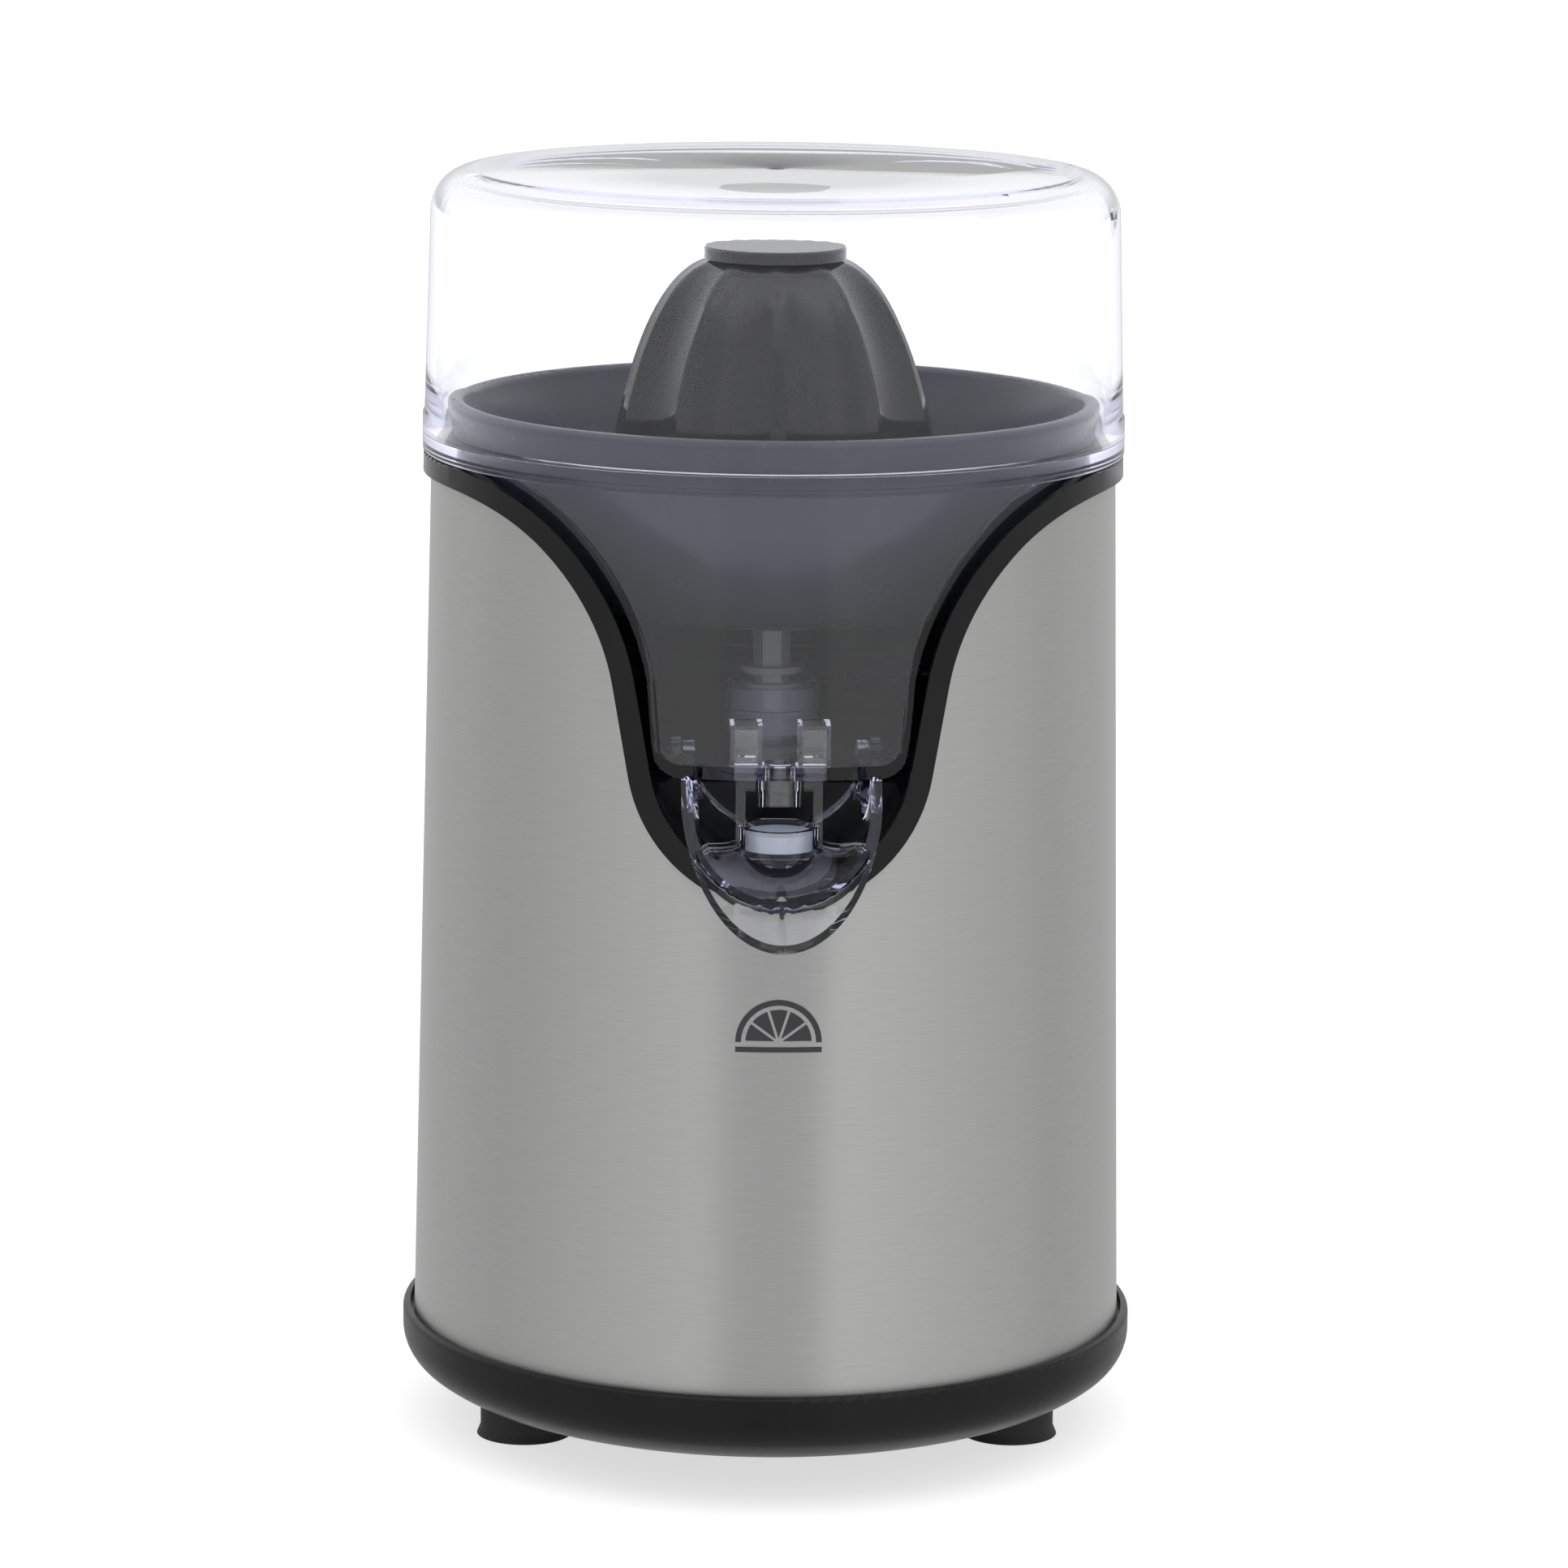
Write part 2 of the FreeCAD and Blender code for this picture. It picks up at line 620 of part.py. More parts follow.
def make_upper_housing():
    outer, wall = d.housing_wall_radius, d.housing_wall
    top = d.rim_low_height - 2.2
    deck, thick = d.deck_height, d.deck_wall
    body = new_body("upper_housing_cup")
    revolve(body, [
        (d.deck_hole_radius, deck - thick), (outer, deck - thick), (outer, top), (outer - wall, top),
        (outer - wall, deck), (d.deck_hole_radius, deck)])
    radius = d.opening_low_radius - d.bezel_width
    centre = d.opening_low_height
    rim = common(
        fuse(cylinder(radius + 2, 50, 0, -d.channel_back + 2, centre, (1, 0, 0), 90),
             box((-(radius + 2), -d.channel_back - 50, centre), (radius + 2, -d.channel_back + 2, 190))),
        cylinder(outer, 60, 0, 0, 125))
    trough = fuse(
        cylinder(radius, 50, 0, -d.channel_back, centre, (1, 0, 0), 90),
        box((-radius, -d.channel_back - 50, centre), (radius, -d.channel_back, centre + 80)))
    under = box((-60, -100, deck), (60, 60, 200))
    window = new_body("housing_opening")
    extrude(window, "Pad", "XZ_Plane", opening_loop(d.bezel_width - 0.8, top + 5), 100)
    front = cut(window, cylinder(outer - wall - 0.5, 200, 0, 0, 60))
    posts = []
    bores = []
    for angle in POST_ANGLES:
        x, y = around(d.post_circle, angle)
        posts.append(cylinder(d.post_radius, deck - thick - d.post_end_height + 1, x, y, d.post_end_height))
        bores.append(cylinder(d.screw_radius, 22, x, y, d.post_end_height - 1))
    for x, y in EAR_PLACES:
        posts.append(cylinder(3.6, 4.0, x, y, deck - 0.5))
        bores.append(cylinder(d.screw_radius, 5.0, x, y, deck - thick - 0.5))
    cup = fuse(body, cut(rim, under), *posts)
    keep("upper_housing", cut(cup, trough, front, *bores))


# ---------------------------------------------------------------- collector

def window_loop(inset, low, corner):
    """Outline of the front window: the opening's flare above, straight sides below."""
    half = d.window_half_width - (inset - d.window_inset)
    right = opening_half(inset)
    rise, bend, level = right[2:]
    return [
        (half - corner, low, "ccw", corner), (half, low + corner), rise, bend, level,
        (level[0], d.rim_high_height), (-level[0], d.rim_high_height),
        (-level[0], level[1], "cw", bend[3]), (-bend[0], bend[1], "cw", rise[3]),
        (-rise[0], rise[1]), (-half, low + corner, "ccw", corner), (-(half - corner), low)]


def closed_plug_top():
    """Middle of the plug's top face once the spout is tilted shut, as (y, height)."""
    back = d.hinge_depth - (d.drain_depth - 1)
    rise = d.plug_seat_height + d.plug_height - d.hinge_height
    turn_cos, turn_sin = cosine(d.spout_tilt), sine(d.spout_tilt)
    return (back * turn_cos + rise * turn_sin - d.hinge_depth,
            rise * turn_cos - back * turn_sin + d.hinge_height)


def make_collector():
    wall, low = d.clear_wall, d.collector_floor
    floor = low + d.floor_wall
    rim_low, rim_high = d.rim_low_height, d.rim_high_height
    outer = new_body("collector_outside")
    revolve(outer, [
        (0, low), (d.collector_radius - 2, low, "ccw", 2), (d.collector_radius, low + 2),
        (d.collector_radius, rim_low), (d.rim_radius - 0.5, rim_low, "ccw", 0.5),
        (d.rim_radius, rim_low + 0.5), (d.rim_radius, rim_high), (0, rim_high)])
    window = new_body("window_outside")
    extrude(window, "Pad", "XZ_Plane", window_loop(d.window_inset, low, d.window_corner), 100)
    bulge = common(window, cylinder(d.window_radius, 100, 0, 0, low - 10))
    inner = new_body("collector_inside")
    revolve(inner, [
        (0, floor), (d.collector_radius - wall - 2, floor, "ccw", 2),
        (d.collector_radius - wall, floor + 2), (d.collector_radius - wall, rim_high + 1),
        (0, rim_high + 1)])
    hollow = new_body("window_inside")
    extrude(hollow, "Pad", "XZ_Plane",
            window_loop(d.window_inset + wall, floor, d.window_corner - wall), 100)
    hollow_top = common(hollow, cylinder(d.window_radius - wall, 58, 0, 0, rim_low - 58))
    hub = cylinder(d.hub_radius, d.hub_high_height - d.hub_low_height, 0, 0, d.hub_low_height)
    hub_bore = cylinder(d.hub_bore, 40, 0, 0, d.hub_low_height - 10)
    end_y, end_z = closed_plug_top()
    slope = tangent(d.spout_tilt)
    level = end_z + d.seat_gap + (end_y + d.drain_depth) * slope
    reach = d.drain_radius + 2
    drop = level - reach * slope - 1
    pipe = cylinder(d.drain_radius, floor - drop, 0, -d.drain_depth, drop)
    below = new_body("closed_plug_plane")
    extrude(below, "Pad", "YZ_Plane", [
        (-d.drain_depth - reach, drop - 2), (-d.drain_depth + reach, drop - 2),
        (-d.drain_depth + reach, level - reach * slope),
        (-d.drain_depth - reach, level + reach * slope)], 20, both_ways=True)
    drain = cut(pipe, below)
    drain_bore = cylinder(d.drain_bore, floor - drop + 4, 0, -d.drain_depth, drop - 2)
    guides = []
    guide_holes = []
    ears = []
    ear_holes = []
    for side in (-1, 1):
        near, far = d.guide_inner, d.guide_outer
        spans = sorted([side * near, side * far], key=lambda size: size.value)
        depth = d.drain_depth
        skin = d.guide_wall
        guides.append(box((spans[0] - skin, -depth - 2.9 - skin, floor - 1),
                          (spans[1] + skin, -depth + 3.9 + skin, d.guide_height)))
        guide_holes.append(box((spans[0], -depth - 2.9, floor),
                               (spans[1], -depth + 3.9, d.guide_height - skin)))
        guide_holes.append(box((spans[0], -depth - 1.5, low - 1),
                               (spans[1], -depth + 3.0, floor + 0.1)))
        ear_in, ear_out = d.hinge_ear_inner, d.hinge_ear_inner + d.hinge_ear_wall
        ear_span = sorted([side * ear_in, side * ear_out], key=lambda size: size.value)
        foot = d.hinge_height - 2.4
        ears.append(box((ear_span[0], -d.hinge_depth - 3.2, foot),
                        (ear_span[1], -d.hinge_depth + 3.2, low + 0.5)))
        ear_holes.append(cylinder(d.hinge_pin_radius + d.hinge_play, d.hinge_ear_wall + 2,
                                  ear_span[0] - 1, -d.hinge_depth, d.hinge_height, (0, 1, 0), 90))
    shell = cut(fuse(outer, bulge), inner, hollow_top)
    solid = fuse(shell, hub, drain, *guides, *ears)
    keep("juice_collector", cut(solid, hub_bore, drain_bore, *guide_holes, *ear_holes))


def make_collector_bush():
    keep("shaft_bush", tube(d.hub_bore, d.journal_radius + d.running_play, 6.8, d.hub_low_height))
    keep("shaft_seal", tube(d.hub_bore, d.journal_radius + d.running_play, 4.6, d.hub_low_height + 7))


# ---------------------------------------------------------------- spout

def spout_side_loop(grow=0):
    """Side view of the trough in the YZ plane, as (depth, height) at the open position."""
    slope = tangent(d.spout_tilt)
    back_top = d.collector_floor - 0.4 - (d.spout_back - d.hinge_depth) * slope
    step_y = d.window_radius + 1.4
    step_z = d.collector_floor - 0.4 - (step_y - d.hinge_depth) * slope
    deep = d.spout_low_height - 30
    return [
        (-d.spout_back, deep), (-d.spout_back, back_top), (-step_y, step_z),
        (-(step_y + 1.9), d.collector_floor + 1.6), (-(step_y + 4), d.collector_floor + 1.2),
        (-d.spout_front, d.spout_shoulder), (-d.spout_front, deep)]


def half_pipe(radius, length, centre_z):
    """A U-shaped bar along the trough: round below its centre line and straight above."""
    body = new_body("half_pipe")
    sketch = new_sketch(body, "XZ_Plane")
    top = centre_z + 14
    draw_loop(sketch, [
        (0, centre_z - radius, "ccw", radius), (radius, centre_z), (radius, top), (-radius, top),
        (-radius, centre_z, "ccw", radius)])
    bind(sketch, "AttachmentOffset.Base.z", d.spout_front)
    return sketch


def oblique(sketch, run, rise):
    """Extrudes a sketch along a sloping direction in the YZ plane."""
    item = doc.addObject("Part::Extrusion", "Oblique")
    item.Base = sketch
    item.DirMode = "Custom"
    item.Dir = FreeCAD.Vector(0, Size.of(run).value, Size.of(rise).value)
    item.setExpression("Dir.y", Size.of(run).text)
    item.setExpression("Dir.z", Size.of(rise).text)
    length = root(Size.of(run) * run + Size.of(rise) * rise)
    bind(item, "LengthFwd", length)
    item.Solid = True
    return item


def make_spout():
    slope = tangent(d.spout_tilt)
    centre = d.spout_low_height + d.spout_radius
    run = d.spout_front - d.spout_back
    outer = oblique(half_pipe(d.spout_radius, run, centre), run, run * slope)
    inner = oblique(half_pipe(d.spout_radius - d.spout_wall, run, centre), run, run * slope)
    side = new_body("spout_side")
    extrude(side, "Pad", "YZ_Plane", spout_side_loop(), 60, both_ways=True)
    trough = cut(common(outer, side), inner)
    lip_outer = oblique(half_pipe(d.spout_radius, 0, centre), -d.lip_reach, -d.lip_drop)
    lip_inner = oblique(half_pipe(d.spout_radius - d.lip_wall, 0, centre), -d.lip_reach - 2,
                        -d.lip_drop - 2 * (d.lip_drop / d.lip_reach))
    wedge = new_body("lip_wedge")
    tip_y, tip_z = d.spout_front + d.lip_reach, d.spout_low_height - d.lip_drop
    extrude(wedge, "Pad", "YZ_Plane", [
        (-d.spout_front + 0.5, d.spout_shoulder), (-d.spout_front, d.spout_shoulder),
        (-tip_y, tip_z), (-tip_y, tip_z - 3), (-d.spout_front + 0.5, tip_z - 3)], 60, both_ways=True)
    lip = common(cut(lip_outer, lip_inner), wedge)
    depth = d.drain_depth - 1
    cup_low = d.spout_low_height + (d.spout_front - depth) * slope + 0.6
    cup = cylinder(d.cup_radius, d.plug_seat_height + 4.6 - cup_low, 0, -depth, cup_low)
    cup_hollow = cylinder(d.plug_radius, 12, 0, -depth, d.plug_seat_height)
    limb_front = d.spout_back + 6
    limb_top = d.collector_floor - 0.65 - (limb_front - d.hinge_depth) * slope
    plate = new_body("limb_plate")
    extrude(plate, "Pad", "YZ_Plane", [
        (-d.hinge_depth + 2.0, d.hinge_height - 2.3), (-d.hinge_depth + 2.0, d.hinge_height + 1.9),
        (-d.hinge_depth - 0.5, d.hinge_height + 1.9), (-limb_front, limb_top),
        (-limb_front, limb_top - 4.2), (-d.channel_back - 1.0, d.hinge_height - 2.3)],
        60, both_ways=True)
    arms = []
    limbs = []
    for side_sign in (-1, 1):
        near, far = side_sign * (d.guide_inner + 0.4), side_sign * (d.guide_outer - 0.4)
        spans = sorted([near, far], key=lambda size: size.value)
        arms.append(box((spans[0], -depth - 1.0, d.plug_seat_height),
                        (spans[1], -depth + 1.0, d.collector_floor + d.floor_wall + 0.9)))
        arms.append(box((spans[0], -depth - 2.9, d.collector_floor + d.floor_wall + 0.2),
                        (spans[1], -depth + 1.0, d.collector_floor + d.floor_wall + 1.2)))
        wide = d.hinge_ear_inner - 0.4
        limb = sorted([side_sign * (wide - 2.4), side_sign * wide], key=lambda size: size.value)
        limbs.append(box((limb[0], -d.spout_back - 8, d.spout_low_height),
                         (limb[1], -d.hinge_depth + 4.0, d.collector_floor)))
        pin = sorted([side_sign * (wide - 1), side_sign * (d.hinge_ear_inner + d.hinge_ear_wall + 0.6)],
                     key=lambda size: size.value)
        arms.append(cylinder(d.hinge_pin_radius, pin[1] - pin[0], pin[0], -d.hinge_depth,
                             d.hinge_height, (0, 1, 0), 90))
    solid = fuse(trough, lip, cup, common(plate, fuse(*limbs)), *arms)
    keep("spout", cut(solid, cup_hollow))


def make_plug():
    depth = d.drain_depth - 1
    plug = cylinder(d.plug_radius - 0.05, d.plug_height, 0, -depth, d.plug_seat_height)
    keep("drip_plug", plug)


# ---------------------------------------------------------------- strainer and cones

def make_strainer():
    rim, top, wall = d.strainer_rim_radius, d.strainer_top_height, d.strainer_wall
    low = d.strainer_low_height
    ledge = d.rim_high_height + 0.1
    throat = d.collector_radius - d.clear_wall - 0.8
    floor = d.strainer_floor_radius
    body = new_body("pulp_strainer")
    revolve(body, [
        (d.strainer_hub_bore, low), (floor, low, "ccw", 42), (throat - 3.5, ledge - 14),
        (throat, ledge), (rim, ledge), (rim, top - 2, "ccw", 2), (rim - 2, top),
        (rim - 2.4, top, "ccw", 1.6), (rim - 4, top - 1.6), (throat - wall - 0.6, ledge - 2),
        (throat - 3.5 - wall, ledge - 14, "cw", 42 - wall), (floor, low + wall),
        (d.strainer_hub_bore + 2, low + wall), (d.strainer_hub_bore + 2, low + 14),
        (d.strainer_hub_bore, low + 14)])
    slots = []
    count = int(d.slot_count.value)
    for index in range(count):
        angle = index * 360.0 / count
        slot = box((0, 0, 0), (14, d.slot_width, 6))
        slot.Placement = FreeCAD.Placement(
            FreeCAD.Vector(0, 0, 0), FreeCAD.Rotation(FreeCAD.Vector(0, 0, 1), angle))
        reach, half = d.strainer_floor_radius - 16, d.slot_width / 2
        slot.setExpression("Placement.Base.x", (reach * cosine(angle) + half * sine(angle)).text)
        slot.setExpression("Placement.Base.y", (reach * sine(angle) - half * cosine(angle)).text)
        slot.setExpression("Placement.Base.z", (low - 2).text)
        slots.append(slot)
    keep("pulp_strainer", cut(body, *slots))


def dome_radius(share, foot, collar):
    """Radius of a reaming dome at a share of its height: full below, rounding in to the collar."""
    bulge = math.sqrt(max(1 - share ** 1.9, 0))
    return collar + (foot - collar) * bulge


def fluted_section(foot, ribs, rib_half, depth, height):
    """One level outline of a fluted dome: rib crests joined by hollow arcs."""
    edges = []
    step = 2 * math.pi / ribs
    crest = rib_half / foot
    for index in range(ribs):
        middle = index * step - math.pi / 2
        ends = [middle - crest, middle + crest, middle + step - crest]
        points = [FreeCAD.Vector(foot * math.cos(a), foot * math.sin(a), height) for a in ends]
        top = FreeCAD.Vector(foot * math.cos(middle), foot * math.sin(middle), height)
        inner = foot - depth
        hollow = middle + step / 2
        valley = FreeCAD.Vector(inner * math.cos(hollow), inner * math.sin(hollow), height)
        edges.append(Part.Arc(points[0], top, points[1]).toShape())
        edges.append(Part.Arc(points[1], valley, points[2]).toShape())
    return Part.Wire(edges)


def fluted_dome(low, high, foot, collar, ribs, rib_width, depth):
    """A reaming dome, lofted through level outlines whose ribs and flutes shrink upwards."""
    wires = []
    levels = 11
    for index in range(levels):
        share = math.sin(math.pi / 2 * index / (levels - 1))
        radius = dome_radius(share, foot, collar)
        scale = radius / foot
        rib_half = rib_width / 2 * scale ** 1.5
        wires.append(fluted_section(radius, ribs, rib_half, depth * (0.25 + 0.75 * scale) * scale ** 0.4,
                                    low + (high - low) * share))
    return Part.makeLoft(wires, True, False)


def make_large_cone():
    low, top = d.cone_low_height.value, d.cone_top_height.value
    collar, height = d.cone_collar_radius.value, d.cone_collar_height.value
    wall = d.cone_wall.value
    outside = fluted_dome(low, top - height, d.cone_radius.value, collar - 2.6,
                          int(d.rib_count.value), d.rib_width.value, d.flute_depth.value)
    cap = Part.makeCylinder(collar, height - 0.4, FreeCAD.Vector(0, 0, top - height))
    crown = Part.makeCone(collar, collar - 0.6, 0.4, FreeCAD.Vector(0, 0, top - 0.4))
    inside = fluted_dome(low - 1, top - height - wall, d.cone_radius.value - wall, collar - 2.6 - wall,
                         int(d.rib_count.value), d.rib_width.value, d.flute_depth.value)
    item = doc.addObject("Part::Feature", "large_cone")
    item.Shape = outside.fuse([cap, crown]).cut(inside).removeSplitter()
    item.Placement = FreeCAD.Placement()
    keep("large_cone", item)


def make_small_cone():
    low = d.small_cone_low.value
    ceiling = d.cone_top_height - d.cone_collar_height - d.cone_wall
    top = (ceiling - d.seat_gap).value
    outside = fluted_dome(low, top, d.small_cone_radius.value, 10.5, int(d.rib_count.value),
                          d.rib_width.value * 0.7, 1.8)
    inside = fluted_dome(low - 1, top - 4.0, d.small_cone_radius.value - 2, 9.0,
                         int(d.rib_count.value), d.rib_width.value * 0.7, 1.8)
    hub = Part.makeCylinder(7.0, top - low - 4, FreeCAD.Vector(0, 0, low))
    dome = doc.addObject("Part::Feature", "small_cone_dome")
    dome.Shape = outside.cut(inside).fuse(hub)
    bore = hexagon(d.shaft_flats + 2 * d.running_play, d.shaft_top_height - low + 0.3, low)
    keep("small_cone", cut(dome, bore))


def make_lid():
    low, top = d.rim_high_height + 0.1, d.lid_top_height
    wall, corner, flange = d.lid_wall, d.lid_corner, d.lid_flange_height
    wide, narrow = d.lid_low_radius, d.lid_high_radius
    body = new_body("lid")
    revolve(body, [
        (0, top), (0, top - wall), (narrow - corner, top - wall, "cw", corner - wall),
        (narrow - wall, top - corner), (wide - wall, flange), (wide - wall, low),
        (d.rim_radius, low), (d.rim_radius, flange - 0.8), (wide, flange),
        (narrow, top - corner, "ccw", corner),
        (narrow - corner, top)])
    dimple = doc.addObject("Part::Sphere", "Dimple")
    bind(dimple, "Radius", 6)
    place(dimple, 0, 0, top + 5.5)
    keep("lid", cut(body, dimple))


# ---------------------------------------------------------------- drive train

def make_drive_shaft():
    low, top = d.hub_low_height - 1.7, d.shaft_top_height
    journal_top = d.hub_high_height + 0.6
    journal = cylinder(d.journal_radius, journal_top - low, 0, 0, low)
    bar = hexagon(d.shaft_flats, top - journal_top + 0.5, journal_top - 0.5)
    collar_low = d.hub_high_height + d.press_travel + 0.4
    collar = cylinder(d.journal_radius + 0.4, 1.4, 0, 0, collar_low)
    socket = hexagon(d.spindle_flats + 2 * d.running_play, 7.2, low + 0.9)
    mouth = cylinder(d.spindle_radius + 0.3, 1.9, 0, 0, low - 1)
    groove = tube(9, d.journal_radius - 0.5, 0.8, low + 0.3)
    keep("drive_shaft", cut(fuse(journal, bar, collar), socket, mouth, groove))
    clip = tube(d.journal_radius + 1.4, d.journal_radius - 0.45, 0.7, low + 0.35)
    gap = box((-2.2, -12, low - 1), (2.2, 0, low + 3))
    keep("retaining_clip", cut(clip, gap))


def make_spindle():
    tip = d.spindle_tip_height
    shoulder = d.output_low_height + d.output_face + d.press_travel + 0.1
    hex_low = d.output_low_height - 4
    neck_top = d.hub_low_height - 0.95
    tail = cylinder(d.spindle_tail_radius, hex_low - tip - 2, 0, 0, tip + 2)
    dome = cone(2.0, d.spindle_tail_radius, 2.0, 0, 0, tip)
    drive = hexagon(d.spindle_flats, shoulder - hex_low, hex_low)
    neck = cylinder(d.spindle_radius, neck_top - shoulder, 0, 0, shoulder)
    crown_top = d.hub_low_height - 1.7 + 0.9 + 7.2 - d.seat_gap
    crown = hexagon(d.spindle_flats, crown_top - neck_top + 0.1, neck_top - 0.1)
    keep("spindle", fuse(tail, dome, drive, neck, crown))


def gear_outline(name, module, teeth, phase, play):
    """Closed wire of straight-flanked teeth; phase is the direction of one tooth, in degrees."""
    pitch = module * teeth / 2
    tip, foot = pitch + module * 0.95, pitch - module * 1.2
    width = math.pi * module / 2 - play
    half_tip = (width - 2 * module * 0.38) / 2 / tip
    half_foot = (width + 2 * module * 0.42) / 2 / foot
    points = []
    for index in range(teeth):
        middle = math.radians(phase) + 2 * math.pi * index / teeth
        for radius, turn in ((foot, -half_foot), (tip, -half_tip), (tip, half_tip), (foot, half_foot)):
            points.append(FreeCAD.Vector(radius * math.cos(middle + turn),
                                         radius * math.sin(middle + turn), 0))
    points.append(points[0])
    item = doc.addObject("Part::Feature", name)
    item.Shape = Part.makePolygon(points)
    return item


def gear(name, module, teeth, phase, height, x, y, z):
    """Extrudes a toothed outline to a height at a place."""
    outline = gear_outline(name + "_teeth", module.value, int(teeth.value), phase, 0.22)
    blank = doc.addObject("Part::Extrusion", name + "_blank")
    blank.Base = outline
    blank.DirMode = "Custom"
    blank.Dir = FreeCAD.Vector(0, 0, 1)
    bind(blank, "LengthFwd", height)
    blank.Solid = True
    return place(blank, x, y, z)


stage_two = d.output_module * (d.output_teeth + d.pinion_teeth) / 2
stage_one = d.wheel_module * (d.wheel_teeth + d.motor_teeth) / 2
motor_x = stage_one * cosine(d.motor_turn)
motor_y = stage_two + stage_one * sine(d.motor_turn)


def make_output_gear():
    low, face = d.output_low_height, d.output_face
    teeth = gear("output_gear", d.output_module, d.output_teeth, 90, face, 0, 0, low)
    bore = hexagon(d.spindle_flats + 2 * d.running_play, face + 2, low - 1)
    pitch = d.output_module * d.output_teeth / 2
    recess = [cut(cylinder(pitch - 4, 3.2, 0, 0, z), cylinder(8.5, 5, 0, 0, z - 1))
              for z in (low - 1, low + face - 2.2)]
    keep("output_gear", cut(teeth, bore, *recess))


def make_compound_gear():
    low, face = d.wheel_low_height, d.wheel_face
    y = stage_two
    wheel = gear("compound_wheel", d.wheel_module, d.wheel_teeth, d.motor_turn.value, face, 0, y, low)
    pinion_high = d.output_low_height + d.output_face + 1
    pinion_phase = -90 + 180 / d.pinion_teeth.value
    pinion = gear("compound_pinion", d.output_module, d.pinion_teeth, pinion_phase,
                  pinion_high - low - face + 0.5, 0, y, low + face - 0.5)
    bore = cylinder(d.axle_radius + d.running_play, 40, 0, y, low - 5)
    pitch = d.wheel_module * d.wheel_teeth / 2
    recess = cut(cylinder(pitch - 3.5, 3, 0, y, low - 1), cylinder(7, 5, 0, y, low - 2))
    keep("compound_gear", cut(fuse(wheel, pinion), bore, recess))


def make_gearbox():
    low, high, wall = d.gearbox_low_height, d.gearbox_high_height, d.gearbox_wall
    big = d.output_module * d.output_teeth / 2 + d.output_module + 2
    small = d.wheel_module * d.wheel_teeth / 2 + d.wheel_module + 2
    floor = 2.5

    def oval(grow, z, height):
        """A round end about each gear axis, joined by a block."""
        parts = [cylinder(big + grow, height, 0, 0, z), cylinder(small + grow, height, 0, stage_two, z)]
        parts.append(box((-(small + grow), 0, z), (small + grow, stage_two, z + height)))
        return fuse(*parts)

    boss_high = d.output_low_height - 0.3
    boss = cylinder(9, boss_high - low, 0, 0, low)
    spring_room = cylinder(6.7, boss_high - low, 0, 0, low + floor + 0.5)
    tail_hole = cylinder(6.0, 12, 0, 0, low - 4)
    axle_boss = cylinder(5, d.wheel_low_height - 0.3 - low, 0, stage_two, low)
    axle_hole = cylinder(d.axle_radius, 20, 0, stage_two, low + 0.8)
    motor_hole = cylinder(4.0, 12, motor_x, motor_y, low - 5)
    motor_boss = cylinder(6.0, 3.5, motor_x, motor_y, low - 3.4)
    pillars = []
    ears = []
    ear_holes = []
    for x, y in stator_holes():
        pillars.append(cylinder(4.2, floor, x, y, low))
        pillars.append(cut(
            cylinder(3.2, low - d.stator_low_height - d.stator_height + 0.5, x, y,
                     d.stator_low_height + d.stator_height),
            cylinder(1.25, 12, x, y, d.stator_low_height + d.stator_height - 1)))
    for x, y in EAR_PLACES:
        ears.append(cylinder(4.2, high - low, x, y, low))
        ear_holes.append(cylinder(d.screw_radius + 0.15, high - low + 4, x, y, low - 2))
    tab = box((4, 3.6, 83.5), (27, 6.0, low + 1))
    tab_holes = [cylinder(1.1, 6, x, 2, 86, (1, 0, 0), -90) for x in (9, 23)]
    inside = oval(0, low + floor, high - low)
    rim = cut(fuse(oval(wall, low, high - low), *ears), inside)
    keep("gearbox_tray", cut(fuse(rim, boss, axle_boss, motor_boss, tab, *pillars), spring_room,
                             tail_hole, axle_hole, motor_hole, *ear_holes, *tab_holes))

    plate = fuse(oval(wall, high, 2.5), *[cylinder(4.2, 2.5, x, y, high) for x, y in EAR_PLACES])
    stand = [cylinder(4.2, d.deck_height - d.deck_wall - high, x, y, high) for x, y in EAR_PLACES]
    neck_top = d.deck_height - d.deck_wall - 0.1
    neck = cylinder(10.5, neck_top - high, 0, 0, high)
    neck_hole = cylinder(7.2, 30, 0, 0, high - 10)
    seal_seat = cylinder(d.deck_hole_radius - 0.2, 10, 0, 0, neck_top - SEAL_DEPTH)
    output_top = d.output_low_height + d.output_face + 0.3
    stop = cylinder(9.5, high - output_top + 0.5, 0, 0, output_top)
    idler_top = output_top + 1
    idler_stop = cylinder(5, high - idler_top + 0.5, 0, stage_two, idler_top)
    pins = cylinder(d.axle_radius, high - idler_top + 2, 0, stage_two, idler_top - 1)
    screws = [cylinder(d.screw_radius + 0.15, 30, x, y, high - 5) for x, y in EAR_PLACES]
    keep("gearbox_cover", cut(fuse(plate, neck, stop, idler_stop, *stand), neck_hole, seal_seat,
                              pins, *screws))


